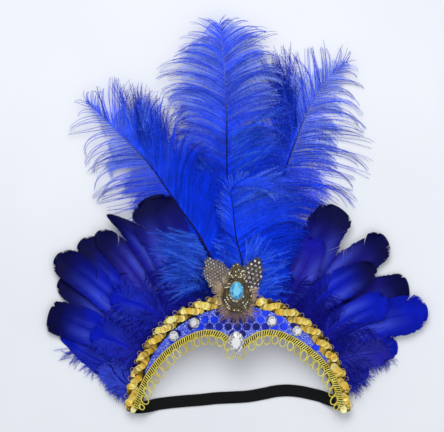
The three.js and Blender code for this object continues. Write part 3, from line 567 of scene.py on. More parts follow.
def plume_side(soup, draw, line, rows, hand, gap, in_lock, hook, light, soft, airy):
    """The barbs on one side of a quill. The soft layer, soft times as long, takes the painted light in full
    and fills the web;
    the other one is drawn together in small locks with bare, darker, hooked tips. Towards the upper end and
    at thin tips the web is lightened with painted light."""
    share = np.linspace(0, 1, BARB_STEPS)
    far = np.linalg.norm(np.diff(line, axis=0), axis=1).sum()
    rows = np.array(rows, float)
    count = int(far * (1 - rows[0, 0]) / gap)
    even = np.linspace(0, 1, count)
    along = lerp(rows[0, 0], 0.995, 0.7 * even + 0.3 * even ** 4)
    turn, long, drop, curl = (np.interp(along, rows[:, 0], rows[:, k]) for k in (1, 2, 3, 4))
    lock = np.floor(np.arange(count) / in_lock + draw.uniform(-0.3, 0.3, count)).astype(int)
    lock -= lock.min()
    many = lock.max() + 1
    turn = turn + draw.normal(0, 3.5, many)[lock] + draw.normal(0, 2.5, count)
    thin_tip = airy * smooth(0.68, 0.92, along)
    long = long * draw.uniform(0.84, 1.06, many)[lock] * draw.uniform(0.85, 1.05, count)
    if soft:
        long = long * soft * (1 - 0.75 * thin_tip)
    curl = curl + draw.normal(0, 8, many)[lock] + draw.normal(0, 4, count)
    bend = draw.uniform(*hook, many)[lock] + draw.normal(0, 12, count)
    lift = draw.normal(0, 1.2, many)[lock] + draw.normal(0, 0.5, count)
    foot, way = on_line(line, along)
    bent = turn[:, None] + curl[:, None] * share + bend[:, None] * share ** 3
    head = heading(way) + hand * np.radians(bent)
    head = head + 0.06 * np.sin(share * 7 + draw.uniform(0, 6.28, (count, 1)))
    step = (long / (BARB_STEPS - 1))[:, None]
    z = foot[:, 2:3] - drop[:, None] * share ** 1.5 + lift[:, None] * share - (SOFT_BELOW if soft else 0)
    lines = walk(foot, head, step, z, at_foot=True)
    heart = np.zeros((many, BARB_STEPS, 3))
    np.add.at(heart, lock, lines)
    heart /= np.maximum(np.bincount(lock, minlength=many), 1)[:, None, None]
    pull = ((0.3 if soft else 0.7) * share ** 1.6)[None, :, None]
    lines = lerp(lines, heart[lock], pull)
    lines[..., 2] = np.maximum(lines[..., 2], 0.5)
    low, far_up = (0.9, 1.08) if soft else (0.58, 1.22)
    shade = draw.uniform(low, far_up, (many, 1, 1))[lock] * draw.uniform(0.88, 1.12, (count, 1, 1))
    out = smooth(0.35, 1.0, share)[None, :, None]
    # Painted light: the upper part of the plume and its thin tips are lightened towards the palest blue, as
    # light falls on and through the sparse barbs.
    high = smooth(0.4, 0.8, along)[:, None, None]
    white = np.clip(light * high * (0.45 + 0.55 * out) + thin_tip[:, None, None], 0, 1)
    web = lerp(lerp(ROYAL, ROYAL_LIT, 0.8 * high), ROYAL_PAINTED_LIGHT, white)
    barbules = int(np.median(long) * 0.7)
    if soft:
        strands(soup, lines, web * shade, draw, 0.3, barbules, np.clip(long * 0.09, 1, 6), thin=0.7, bare=0.7)
    else:
        shaft = lerp(ROYAL, ROYAL_DEEP, 0.75 * out) * shade
        fine = lerp(web, ROYAL, 0.35) * shade
        reach = np.clip(long * 0.045, 0.6, 2.8) * (1 - 0.6 * thin_tip)
        strands(soup, lines, shaft, draw, 0.3, barbules, reach, fine, thin=0.42, bare=0.4)


def loose_barbs(soup, draw, line, first, last, hand, count, reach, turns, lengths, tones):
    """Separate downy barbs that spread from a stretch of a quill, over the others."""
    share = np.linspace(0, 1, LOOSE_STEPS)
    foot, way = on_line(line, draw.uniform(first, last, count))
    turn = np.radians(draw.uniform(*turns, (count, 1)))
    head = heading(way) + hand * (turn + draw.normal(0, 0.25, (count, 1)) * share)
    step = reach * draw.uniform(*lengths, (count, 1)) / (LOOSE_STEPS - 1)
    z = foot[:, 2:3] + draw.uniform(-2.6, 1.6, (count, 1)) * share
    lines = walk(foot, head, step, z)
    tone = lerp(*tones, draw.uniform(0, 1, (count, 1, 1)))
    strands(soup, lines, tone, draw, 0.26, 34, 3.4, thin=0.45, bare=0.8)


def plume(name, seed, quill, left, right, painted_light, hook, pitch, locks, loose,
          soft=(0.84, 0.84), tip=QUILL_TIP, airy=0.0):
    """An ostrich plume: a tapered quill with a soft layer and a fine layer of barbs on each side."""
    draw = np.random.RandomState(seed)
    soup = Soup()
    line = through(quill, QUILL_POINTS)
    widest, apart = SOFT_GAP
    sides = tuple(zip((left, right), (1, -1), pitch, locks, painted_light, soft))
    for rows, hand, gap, _, light, share in sides:
        gap = min(gap, widest) * apart
        plume_side(soup, draw, line, rows, hand, gap, SOFT_LOCK, hook, light, share, airy)
    for rows, hand, gap, in_lock, light, _ in sides:
        plume_side(soup, draw, line, rows, hand, gap, in_lock, hook, light, 0, airy)
    for group in loose:
        loose_barbs(soup, draw, line, *group)
    reach = np.linspace(0, 1, len(line[::4]))
    tone = lerp(QUILL, tip, smooth(0.6, 0.95, reach)[:, None])
    tube(soup, line[::4], 1.3 * (1 - 0.86 * reach), tone, sides=8)
    soup.piece(name + "_feather", OSTRICH, [name])


# Goose feathers: (angle, layer, tip x, tip y, bow, width, run z, tip z, colours at middle and tip), and
# last the colour at the root where it isn't INDIGO

INDIGO = srgb(18, 20, 158)
NAVY = srgb(8, 8, 66)
MARINE = srgb(8, 27, 186)
VIOLET = srgb(36, 32, 160)
BRIGHT = srgb(30, 56, 226)
# HAZE is the pale blue of the downy barbs, and also the colour of the painted sheen streaks on goose webs.
HAZE = srgb(84, 104, 232)

GEESE = {
    "goose_left": [
        (-24, 0, -88, 207, 1, 49, 21, 20.5, INDIGO, NAVY),
        (-35, 0, -132, 190, -16, 31, 16, 14, INDIGO, NAVY),
        (-46, 0, -142, 171, -9, 26, 11, 10.5, VIOLET, NAVY),
        (-50, 1, -159, 162, -8, 32, 4.2, 5, MARINE, NAVY),
        (-56, 0, -183, 147, -7, 33, 8.2, 7, MARINE, NAVY),
        (-61, 1, -180, 123, -5, 30, 1.5, 2, INDIGO, NAVY),
        (-68, 0, -190, 89, -7, 36, 5.4, 7, MARINE, NAVY),
        (-75, 1, -179, 67, 3, 25, 1.5, 2, MARINE, MARINE),
        (-40, 0, -128, 107, -6, 28, 14.5, 14, MARINE, MARINE),
        (-63, 0, -148, 70, -4, 28, 9.5, 10, MARINE, MARINE, VIOLET),
        (-82, 0, -129, 40, 4, 22, 4.8, 4.4, BRIGHT, HAZE),
    ],
    "goose_right": [
        (29, 1, 100, 196, 4, 43, 10, 11, INDIGO, NAVY),
        (40, 0, 147, 165, 8, 36, 7.5, 8, VIOLET, NAVY),
        (48, 1, 169, 118, 8, 37, 2.5, 4, VIOLET, NAVY),
        (57, 0, 188, 92, 9, 38, 7, 8, MARINE, MARINE),
        (70, 1, 158, 57, 5, 28, 1.5, 2, VIOLET, MARINE),
        (80, 0, 129, 35, 4, 22, 4.8, 4.4, INDIGO, MARINE),
        (23, 0, 79, 166, -2, 30, 16.5, 16, VIOLET, INDIGO),
        (35, 0, 136, 137, 6, 30, 14, 13, MARINE, NAVY),
        (51, 0, 148, 101, 6, 30, 11.5, 11, MARINE, MARINE),
        (66, 0, 150, 50, 4, 26, 5.5, 6, VIOLET, VIOLET),
    ],
}
GOOSE_SEEDS = {"goose_left": 300, "goose_right": 400}
ROOT_RADIUS = 102.0
GOOSE_BELOW = 1.4
GOOSE_LAYER = 2.6
GOOSE_CAMBER = 1.5
FLUFF_STEPS = 8
VANE_END = 0.992

# Vane outlines: (along, share of the half width, share of the camber)
GOOSE_VANE = np.array([
    (0, 0.34, 0), (0.12, 0.6, 0.3), (0.3, 0.9, 0.8), (0.55, 1, 1),
    (0.8, 0.98, 0.8), (0.94, 0.9, 0.5), (1, 0.84, 0.2),
])
POINTED_VANE = np.array([
    (0, 0.5, 0), (0.2, 0.9, 0.3), (0.45, 1, 1), (0.7, 0.74, 0.8), (0.88, 0.42, 0.5), (1, 0.16, 0.2),
])
POINTED = ("goose_left_2", "goose_left_8")
SQUARE = ("goose_left_7",)
DOWNY = ("goose_left_11",)
FRINGED = (
    "goose_left_8", "goose_left_9", "goose_left_10", "goose_right_5", "goose_right_6", "goose_right_10",
)


class Vane:
    """A feather's surface: a bowed spine in plan, its heights, and its half width along it.
    roll tips it sideways along its length, and wave bends its webs up and down."""

    def __init__(self, root, tip, bow, width, vane, camber, height, roll=0.0, wave=(0.0, 0.0)):
        self.root, self.tip = np.array(root, float), np.array(tip, float)
        chord = self.tip - self.root
        self.length = np.hypot(*chord)
        self.elbow = (self.root + self.tip) / 2 + np.array([-chord[1], chord[0]]) / self.length * 2 * bow
        self.width, self.table, self.camber, self.height = width, vane, camber, height
        self.roll, self.wave = roll, wave

    def spine(self, s):
        s = np.asarray(s, float)[..., None]
        return (1 - s) ** 2 * self.root + 2 * s * (1 - s) * self.elbow + s * s * self.tip

    def way(self, s):
        s = np.asarray(s, float)[..., None]
        return unit(2 * (1 - s) * (self.elbow - self.root) + 2 * s * (self.tip - self.elbow))

    def half(self, s):
        fine = np.linspace(0, 1, 201)
        wide = np.interp(fine, self.table[:, 0], self.table[:, 1])
        wide = np.convolve(np.pad(wide, 10, mode="edge"), np.ones(21) / 21, mode="valid")
        return np.interp(s, fine, wide) * self.width / 2

    def at(self, s, across):
        way = self.way(s)
        left = np.stack([-way[..., 1], way[..., 0]], -1)
        far = across * self.half(s)
        flat = self.spine(s) + left * far[..., None]
        bend = np.interp(s, self.table[:, 0], self.table[:, 2]) * self.camber * across ** 2
        turn = self.roll * smooth(0.3, 0.9, s) * far
        ripple = self.wave[0] * across * np.sin(s * 9 + self.wave[1] + across) * smooth(0.2, 0.6, s)
        return np.concatenate([flat, (self.height(s) - bend + turn + ripple)[..., None]], -1)


def vane_barbs(soup, vane, draw, tones, first, pitch, steps, paint, fray, cap, slip=0.01, wobble=0.0):
    """Both webs of a feather as overlapping flat barbs, parted in a few places.
    From the share cap on, the webs close in a round tip; wobble makes the outline uneven."""
    f = np.linspace(0, 1, steps)
    for hand in (1, -1):
        count = int(vane.length * (VANE_END - first) / pitch)
        s0 = np.linspace(first, VANE_END, count)
        gaps = np.sort(draw.uniform(0.25, 0.97, draw.randint(4, 8)))
        parts = len(gaps) + 1
        part = np.searchsorted(gaps, s0)
        slide = draw.normal(0, slip, parts)[part] * (1 - smooth(0.72, 0.9, s0))
        out = draw.uniform(0.9, 1.05, parts)[part] * (1 + draw.uniform(-fray, fray * 0.6, count))
        out = out * (1 + wobble * np.sin(s0 * 7 + draw.uniform(0, 6)))
        lift = draw.normal(0, 0.45, parts)[part]
        sweep = 0.85 * vane.half(s0) / vane.length
        room = 1.0 - s0
        run = room * (1 - np.exp(-sweep / room))
        s = s0[:, None] + run[:, None] * f ** 1.25 + (slide * room / (room + 0.05))[:, None] * f ** 2
        s = np.clip(s, 0, 1)
        close = (1 - np.clip((s - cap) / (1 - cap), 0, 1) ** 2.6) ** (1 / 2.2)
        across = hand * out[:, None] * f[None] * close
        lines = vane.at(s, across)
        lines[..., 2] += lift[:, None] * f
        lines[..., 2] = np.maximum(lines[..., 2], 0.35)
        way = vane.way(s)
        side = np.concatenate([way, np.full((*s.shape, 1), -0.16)], -1)
        gap = vane.length * (VANE_END - first) / count
        half = gap * (0.7 + 0.55 * f ** 2) * (1 + 0.8 * smooth(0.78, 0.94, s0))[:, None]
        root, middle, tip = tones
        tone = lerp(lerp(root, middle, smooth(0.1, 0.5, s)[..., None]), tip, smooth(0.55, 0.95, s)[..., None])
        tone = tone * draw.uniform(0.94, 1.06, (count, 1, 1)) * draw.uniform(0.9, 1.1, (parts, 1, 1))[part]
        tone = tone * (1 - 0.2 * f ** 3)[None, :, None]
        ribbons(soup, lines, side * hand, half, paint(s, across, tone))


def fluff(soup, vane, draw, tone, first, last, count, reach, barbules=12, web=1.8):
    """Loose downy barbs along a stretch of a feather's spine."""
    share = np.linspace(0, 1, FLUFF_STEPS)
    for hand in (1, -1):
        s0 = draw.uniform(first, last, count)
        head = heading(vane.way(s0)) + hand * np.radians(draw.uniform(35, 95, (count, 1)))
        head = head + draw.normal(0, 0.6, (count, 1)) * share
        step = reach * draw.uniform(0.5, 1.1, (count, 1)) / (FLUFF_STEPS - 1)
        foot = vane.at(s0, np.zeros(count))
        z = foot[:, 2:3] + draw.normal(0.6, 0.8, (count, 1)) * share
        lines = walk(foot, head, step, np.maximum(z, 0.4))
        tones = tone * draw.uniform(0.88, 1.12, (count, 1, 1))
        strands(soup, lines, tones, draw, 0.2, barbules, web)


def goose(name, row, seed):
    angle, layer, tip_x, tip_y, bow, width, run_z, tip_z, middle, end, *root_tone = row
    tones = (*(root_tone or [INDIGO]), middle, end)
    draw = np.random.RandomState(seed)
    root = on_arch(angle, ROOT_RADIUS)[:2]
    edge = root + (np.array([tip_x, tip_y]) - root) * 0.08
    foot_z = band_back(edge[0]) - GOOSE_BELOW - layer * GOOSE_LAYER
    length = math.hypot(tip_x - root[0], tip_y - root[1])

    def height(s):
        fall = smooth(7, 34, s * length)
        return lerp(foot_z, run_z, fall) + (tip_z - run_z) * smooth(0.5, 1, s)

    # Painted sheen: pale streaks along each web, lightened towards HAZE, stand in for the satin highlight of
    # the barbs.
    def painted_sheen(s, across, tone):
        streak = np.exp(-((across - shine) / 0.26) ** 2) + 0.5 * np.exp(-((across + shine * 0.7) / 0.14) ** 2)
        along = smooth(0.1, 0.35, s) * (1 - smooth(0.5, 0.9, s))
        return lerp(tone, HAZE, (0.5 * streak * along)[..., None])

    shine = draw.uniform(0.25, 0.65) * draw.choice([-1, 1])
    roll = draw.uniform(-0.16, 0.16)
    wave = (draw.uniform(0.6, 1.6), draw.uniform(0, 6))
    table = POINTED_VANE if name in POINTED else GOOSE_VANE
    vane = Vane(root, (tip_x, tip_y), bow, width, table, GOOSE_CAMBER, height, roll, wave)
    soup = Soup()
    if name in DOWNY:
        fluff(soup, vane, draw, lerp(tones[0], NAVY, 0.25), 0.0, 0.4, 70, 18)
        fluff(soup, vane, draw, lerp(tones[1], tones[2], 0.5), 0.03, 0.9, 240, width * 0.72, 26, 2.8)
    else:
        cap = 0.955 if name in SQUARE else draw.uniform(0.82, 0.93)
        vane_barbs(soup, vane, draw, tones, 0.04, 0.72, 8, painted_sheen, fray=0.05, cap=cap, slip=0.022, wobble=0.09)
        fluff(soup, vane, draw, lerp(tones[0], NAVY, 0.25), 0.01, 0.44, 66, 20)
    if name in FRINGED:
        fluff(soup, vane, draw, lerp(tones[1], HAZE, 0.15), 0.05, 0.82, 90, width * 0.76, 22, 2.4)
    s = np.linspace(0, 0.86, 40)
    spine = vane.at(s, np.zeros(40)) + UP * 0.1
    tube(soup, spine, 0.6 * (1 - 0.85 * s), lerp(tones[0], tones[1], 0.5) * 0.7, sides=6)
    soup.piece(name + "_feather", GOOSE, [name])


# Band trims

CLOTH_END = 71
CLOTH_OUTER = 99.5
CLOTH_ABOVE = 3.3
CLOTH_GRID = (9, 120)
SEQUIN_FIRST = (-1.6, 79.3)
SEQUIN_PITCH = (9.2, 7.0)
SEQUIN_RADII = (3.7, 1.8)
SEQUIN_ABOVE = 3.9
SEQUIN_SIDES = 14


def sequin_cloth():
    """The cloth ground as a sheet, and offset rows of sequins on it."""
    ground = Soup()
    rows, columns = CLOTH_GRID
    angles = np.linspace(-CLOTH_END, CLOTH_END, columns)
    depth = np.linspace(0, 1, rows)
    inner = gimp_radius(angles) - 1
    radius = lerp(inner[None], CLOTH_OUTER, depth[:, None])
    points = on_arch(angles[None] * np.ones((rows, 1)), radius, CLOTH_ABOVE)
    ground.add(points, grid_faces(rows, columns), srgb(80, 104, 232))
    cloth = ground.piece("band_cloth_ground", glitter_finish(), ["band_cloth"])

    draw = np.random.RandomState(77)
    discs = Soup()
    ring = circle(SEQUIN_SIDES)
    flat = np.stack([np.cos(ring), np.sin(ring)], -1)
    both = np.vstack([flat * SEQUIN_RADII[0], flat * SEQUIN_RADII[1], [[0, 0]]])
    high = np.concatenate([np.full(SEQUIN_SIDES, 0.12), np.zeros(SEQUIN_SIDES + 1)])
    for j in range(-14, 5):
        for i in range(-12, 13):
            x = SEQUIN_FIRST[0] + i * SEQUIN_PITCH[0] + (SEQUIN_PITCH[0] / 2 if j % 2 else 0)
            y = SEQUIN_FIRST[1] + j * SEQUIN_PITCH[1]
            far = math.hypot(x, y)
            angle = math.degrees(math.atan2(x, y))
            if abs(angle) > 70 or far > 97 or far < gimp_radius(angle) + 6:
                continue
            lean = draw.normal(0, 0.1, 2)
            tone = lerp(srgb(2, 8, 96), srgb(8, 26, 150), draw.uniform(0, 1) ** 1.5)
            tone = srgb(20, 56, 236) if draw.uniform() < 0.1 + abs(x) / 140 else tone
            z0 = float(band_back(x)) + SEQUIN_ABOVE
            z = z0 + high + both[:, 0] * (band_slope(x) + lean[0]) + both[:, 1] * lean[1]
            discs.dish(np.column_stack([both[:, 0] + x, both[:, 1] + y, z]), SEQUIN_SIDES, tone)
    discs.piece("band_cloth_sequins", SEQUIN)


BRAID_PITCH = 31.0
BRAID_RADIUS = 105.4
BRAID_START = 10
BRAID_SWEEP = 83
BRAID_ABOVE = 4.4
BRAID_STEP = 1.3
BRAID_SIDES = 12
BRAID_STRAY_ANGLES = (10, 25, 42, 55, 68, 80, 93)
BRAID_STRAY_LEFT = (0.2, 0.8, 1.9, 0.9, 0.6, 1.3, 2.2)
BRAID_STRAY_RIGHT = (-0.6, -0.6, -1.4, -2.2, -1.8, 0.2, 0.8)
GOLD_SHADE = srgb(92, 62, 6)
GOLD_DEEP = srgb(228, 182, 42)
GOLD_LIT = srgb(255, 240, 132)


def braid(name, hand, seed):
    """Gold sequins threaded on two strands that twist round each other, over a dark tube of painted shade."""
    draw = np.random.RandomState(seed)
    soup = Soup()
    span = math.radians(BRAID_SWEEP) * BRAID_RADIUS
    stray = BRAID_STRAY_RIGHT if hand > 0 else BRAID_STRAY_LEFT

    def on_braid(turn):
        return on_arch(hand * turn, BRAID_RADIUS + np.interp(turn, BRAID_STRAY_ANGLES, stray), BRAID_ABOVE)

    def frame_at(d):
        turn = BRAID_START + math.degrees(d / BRAID_RADIUS)
        here = on_braid(turn)
        way = unit(on_braid(turn + 0.5) - here)
        out = unit(np.array([here[0], here[1], 0.0]))
        lift = unit(np.cross(way, out))
        return here, way, out, -lift if lift[2] < 0 else lift

    # A dark tube under the strands: painted shade that shows in the gaps between them.
    core = np.array([frame_at(d)[0] - UP * 1.0 for d in np.linspace(0, span, 60)])
    tube(soup, core, 3.6, GOLD_SHADE, sides=10, squash=0.35)
    ring = circle(BRAID_SIDES)
    for strand in (0, 1):
        for d in np.arange(1.0, span - 0.5, BRAID_STEP):
            here, way, out, lift = frame_at(d)
            phase = 2 * math.pi * d / BRAID_PITCH + strand * math.pi
            over = 0.5 + 0.5 * math.cos(phase)
            centre = here + out * 3.2 * math.sin(phase) + lift * (2.6 * over - 1.0)
            head = unit(way + out * 0.55 * math.cos(phase))
            tilt = 0.3 + draw.normal(0, 0.3)
            face = unit(lift * math.cos(tilt) + head * math.sin(tilt) - out * 0.25 * math.sin(phase))
            one = unit(head - face * head.dot(face))
            two = np.cross(face, one)
            size = draw.uniform(2.5, 3.3) + 0.5 * over
            centre = centre + out * draw.normal(0, 0.35) + way * draw.normal(0, 0.3)
            rim = one * np.cos(ring)[:, None] + two * np.sin(ring)[:, None]
            points = np.vstack([centre + rim * size + face * 0.5, centre + rim * size * 0.5, centre[None]])
            tone = lerp(GOLD_DEEP, GOLD_LIT, draw.uniform(0, 1))
            # Some sequins take a painted glint, and a few a patch of painted shadow.
            glint = draw.uniform()
            if glint > 0.82:
                tone = srgb(255, 246, 170)
            elif glint < 0.1:
                tone = lerp(GOLD_SHADE, tone, 0.3)
            # Sequins on the under side of the twist are darkened with painted shade.
            soup.dish(points, BRAID_SIDES, lerp(GOLD_SHADE, tone, smooth(0.02, 0.45, over)))
    turn = circle(14)
    for d in np.arange(3, span - 2, 8.5):
        here, way, out, lift = frame_at(d)
        middle = here + out * (5.4 + draw.uniform(-0.3, 0.9)) - lift * 1.4
        path = middle + out * np.cos(turn)[:, None] * 1.9 + way * np.sin(turn)[:, None] * 2.1
        tube(soup, path, 0.24, srgb(190, 168, 104), sides=5, loop=True)
    soup.piece(name + "_sequins", GOLD_SEQUIN, [name])


GIMP_ABOVE = 3.6
GIMP_HALF = 2.9
GIMP_STITCH = 2.3
GIMP_STRIP = ((-2.7, 0), (-2.7, 0.8), (2.7, 0.8), (2.7, 0))
LOOPS_PER_SIDE = 17
LOOPS_ABOVE = 4.3
LOOP_HALF_WIDTH = 3.5
MIDDLE_LOOPS = (-8.6, 1.4)  # x of the two loops under the drop stone
MIDDLE_LOOPS_Y = 53.5
LOOP_ANGLES = (0, 20, 36, 50, 67, 80, 90)
LOOP_LEAN_LEFT = (5, 6, 15, 28, 35, 40, 44)
LOOP_LEAN_RIGHT = (5, 6, 6, 12, 22, 30, 42)
LOOP_HALF_LENGTHS = (4.5, 4.5, 4.8, 5.2, 5.2, 4.8, 4.4)


def gimp():
    """A strip of slanted cords between two edge cords, and a row of open loops that hang from it."""
    head = Soup()
    draw = np.random.RandomState(91)
    centre = GIMP_CURVE + UP * GIMP_ABOVE
    way = unit(np.gradient(centre, axis=0))
    out = unit(np.cross(UP, way))
    pick = np.arange(0, GIMP_POINTS, 4)
    strip = np.stack([centre[pick] + out[pick] * wide + UP * up for wide, up in GIMP_STRIP], axis=1)
    # The dark strip under the stitches is painted shade that shows in the gaps between them.
    head.add(strip, grid_faces(len(pick), 4, closed=True), srgb(44, 36, 10))
    far = np.linalg.norm(np.diff(centre, axis=0), axis=1).sum()
    count = int(far / GIMP_STITCH)
    across = np.linspace(-1, 1, 7)
    rise = 0.9 + 0.55 * (1 - across ** 2)
    for point, along in zip(*on_line(centre, (np.arange(count) + 0.5) / count)):
        side = unit(np.cross(UP, along))
        path = point + side * across[:, None] * GIMP_HALF + 0.9 * along * across[:, None] + UP * rise[:, None]
        tone = lerp(srgb(226, 204, 54), srgb(255, 246, 140), draw.uniform(0, 1))
        tube(head, path, 0.52, tone, sides=6)
    for edge in (-GIMP_HALF, GIMP_HALF):
        line = centre[pick] + out[pick] * edge + UP * 0.9
        tube(head, line, 0.42, srgb(230, 212, 88), sides=6)
    head.piece("gimp_head_cord", GOLD_CORD, ["gimp_head"])

    loops = Soup()
    turn = circle(20)
    many = 2 * LOOPS_PER_SIDE
    for k, (point, along) in enumerate(zip(*on_line(GIMP_CURVE, (np.arange(many) + 0.5) / many))):
        side = -unit(np.cross(UP, along))
        in_middle = k in (LOOPS_PER_SIDE - 1, LOOPS_PER_SIDE)
        big = 1.2 if in_middle else draw.uniform(0.93, 1.05) * (0.74 if k in (0, many - 1) else 1)
        hand, leans = (1, LOOP_LEAN_RIGHT) if k >= LOOPS_PER_SIDE else (-1, LOOP_LEAN_LEFT)
        angle = math.degrees(math.atan2(abs(point[0]), point[1]))
        lean = math.radians(np.interp(angle, LOOP_ANGLES, leans))
        hang = np.array([-hand * math.sin(lean), -math.cos(lean), 0.0])
        beside = np.array([-hang[1], hang[0], 0.0])
        long = np.interp(angle, LOOP_ANGLES, LOOP_HALF_LENGTHS) * big
        middle = point + side * 2.2 + hang * long * 0.94
        if in_middle:
            middle, long = np.array([MIDDLE_LOOPS[k - LOOPS_PER_SIDE + 1], MIDDLE_LOOPS_Y, 0.0]), 4.7 * big
            hang, beside = np.array([0.0, -1.0, 0.0]), np.array([1.0, 0.0, 0.0])
        middle[2] = band_back(middle[0]) + LOOPS_ABOVE
        reach = hang * np.cos(turn)[:, None] * long
        wide = beside * np.sin(turn)[:, None] * LOOP_HALF_WIDTH * big * (0.9 + 0.1 * np.cos(turn))[:, None]
        reach[:, 2] += (reach[:, 0] + wide[:, 0]) * band_slope(middle[0])
        path = middle + reach + wide + UP * (0.25 * np.sin(turn))[:, None]
        tone = lerp(srgb(212, 190, 44), srgb(244, 230, 104), draw.uniform(0, 1))
        tube(loops, path, 0.58, tone, sides=6, loop=True)
    loops.piece("gimp_loops_cord", GOLD_CORD, ["gimp_loops"])


# Stones

def cut_stone(name, finish, outline, depth, place, dark, light, draw, tilt=0.0):
    """A faceted stone on an outline of points, each facet painted a random tone between dark and light as
    painted reflections of the cut.
    """
    soup = Soup()
    rings = [(0.86, 0.0), (1.0, 0.3), (0.8, 0.72), (0.52, 1.0)]
    n = len(outline)
    half = (outline + np.roll(outline, -1, 0)) / 2
    levels = []
    for k, (scale, up) in enumerate(rings):
        shape = half if k % 2 == 0 else outline
        levels.append(np.column_stack([shape * scale, np.full(n, up * depth)]))
    turn = np.array([[math.cos(tilt), 0, math.sin(tilt)], [0, 1, 0], [-math.sin(tilt), 0, math.cos(tilt)]])
    levels = [level @ turn.T + place for level in levels]

    def facet(*corners):
        tone = lerp(dark, light, draw.uniform(0, 1) ** 1.1)
        soup.add(np.array(corners), [list(range(len(corners)))], tone)

    for k, (a, b) in enumerate(zip(levels, levels[1:])):
        for i in range(n):
            j = (i + 1) % n
            if k % 2 == 0:
                facet(a[i], b[j], b[i])
                facet(a[i], a[j], b[j])
            else:
                facet(a[i], a[j], b[i])
                facet(a[j], b[j], b[i])
    soup.add(levels[3], [list(range(n))], lerp(dark, light, 0.7))
    soup.add(levels[0], [list(range(n))[::-1]], dark)
    soup.piece(name + "_cut", finish, [name], soft_edges=False)


def oval(width, height, count):
    turn = circle(count)
    return np.stack([np.cos(turn) * width / 2, np.sin(turn) * height / 2], -1)


def pear(width, height, count):
    turn = circle(count)
    y = np.sin(turn)
    pinch = np.where(y < 0, 1 - 0.62 * np.maximum(-y, 0) ** 1.7, 1.0)
    return np.stack([np.cos(turn) * width / 2 * pinch, y * height / 2], -1)


ROUND_STONES = [(-43, 95.1), (-28, 94), (21, 90.6), (37.6, 94.2)]  # angle, radius
STONES_ABOVE = 3.6
WHITE = srgb(255, 255, 255)


def stones():
    draw = np.random.RandomState(55)
    for k, (angle, radius) in enumerate(ROUND_STONES):
        place = on_arch(angle, radius, STONES_ABOVE)
        cut_stone(f"stone_round_{k + 1}", CRYSTAL, oval(10.6, 10.6, 12), 3.6, place,
                  srgb(112, 114, 126), WHITE, draw, tilt=math.asin(place[0] / BEND))
    place = np.array([-3, 63.5, float(band_back(3)) + 5.5])
    cut_stone("stone_drop", CRYSTAL, pear(16.4, 22.8, 14), 4.5, place,
              srgb(104, 106, 118), WHITE, draw)
    cut_stone("gem_oval", AQUA, oval(13.8, 18, 14), 4.5, np.array([*GEM_AT, 42.2]),
              srgb(0, 104, 186), srgb(88, 216, 248), draw)


# Medallion, tuft and guinea feathers

MEDALLION_EDGE = [
    (0, -15.5), (8, -13.3), (13.4, -7.8), (15.5, 0), (13.4, 7.8),
    (9.6, 13.2), (8, 18), (7.5, 23), (5, 29), (0, 33),
]
EDGE_POINTS = 80
MEDALLION_BACK = 39.9
GEM_RISE = GEM_AT[1] - MEDALLION_AT[1]


def medallion():
    draw = np.random.RandomState(31)
    soup = Soup()
    right = np.array([(x, y, 0) for x, y in MEDALLION_EDGE], float)
    left = (right * [-1, 1, 1])[::-1]
    edge = through(np.vstack([right, left[1:]]), EDGE_POINTS + 1)[:-1, :2]
    at = np.array([*MEDALLION_AT, MEDALLION_BACK])
    levels = [(0.97, 0), (1, 0.5), (1, 1.3), (0.94, 2.0), (0.6, 2.3), (0.2, 2.3)]
    heart = np.array([0, 4.0])
    rows = [np.column_stack([heart + (edge - heart) * k, np.full(EDGE_POINTS, z)]) for k, z in levels]
    rows = np.stack(rows) + at
    soup.add(rows, grid_faces(len(levels), EDGE_POINTS, closed=True), srgb(48, 42, 28))
    soup.cap(0, len(levels), EDGE_POINTS)
    # glint is a painted highlight: some beads, and most of those on the lower edge, take it in place of their
    # bronze tone.
    bronze, glint, pewter = srgb(126, 106, 60), srgb(236, 228, 198), srgb(74, 68, 56)

    def bead_tone(glint_share=0.2):
        tone = lerp(pewter, bronze, draw.uniform(0, 1.3))
        return glint if draw.uniform(0, 1) < glint_share else tone

    far = np.concatenate([[0], np.cumsum(np.linalg.norm(np.diff(edge, axis=0), axis=1))])
    for d in np.arange(0, far[-1], 2.0):
        x, y = (np.interp(d, far, edge[:, k]) for k in (0, 1))
        low = y < -11
        spot = at + [x * 0.93, heart[1] + (y - heart[1]) * 0.95, 2.4]
        ball(soup, spot, 1.0, glint if low and draw.uniform() > 0.4 else bead_tone(), stretch=0.8)
    for k in range(38):
        turn = 2 * math.pi * (k + 0.5) / 38
        way = np.array([math.cos(turn), math.sin(turn)])
        start = np.array([7.6, 10.1]) * way + [0, GEM_RISE]
        end = np.array([12.9, 15.2]) * way + [0, 2.0]
        path = [[*lerp(start, end, t), 2.9 + 0.5 * math.sin(math.pi * t)] for t in (0, 0.5, 1)]
        if way[1] > -0.25:
            tube(soup, np.array(path) + at, 0.62, bead_tone(0.08), sides=7)
            continue
        for t in (0.05, 0.5, 0.95):
            ball(soup, at + [*lerp(start, end, t), 3.0], 0.98, bead_tone(0.26), stretch=0.85)
    for j in range(8):
        y = 18.5 + j * 1.8
        wide = np.interp(y, [13, 18, 23, 29, 33], [8.6, 7.4, 6.8, 4.2, 0.4])
        for x in np.arange(-8 + (j % 2), 8.1, 2.0):
            if abs(x) < wide - 1.2:
                ball(soup, at + [x, y, 2.7], 0.95, bead_tone(), stretch=0.85)
    turn = circle(40)
    bezel = np.stack([np.cos(turn) * 6.9, np.sin(turn) * 9.4 + GEM_RISE, np.full(40, 3.2)], -1) + at
    tube(soup, bezel, 0.7, srgb(120, 108, 70), sides=6, loop=True)
    soup.piece("medallion_beads", BRONZE, ["medallion"])


TAN = srgb(194, 168, 134)
UMBER = srgb(122, 96, 94)
TUFT_BARBS = 260
TUFT_STEPS = 9


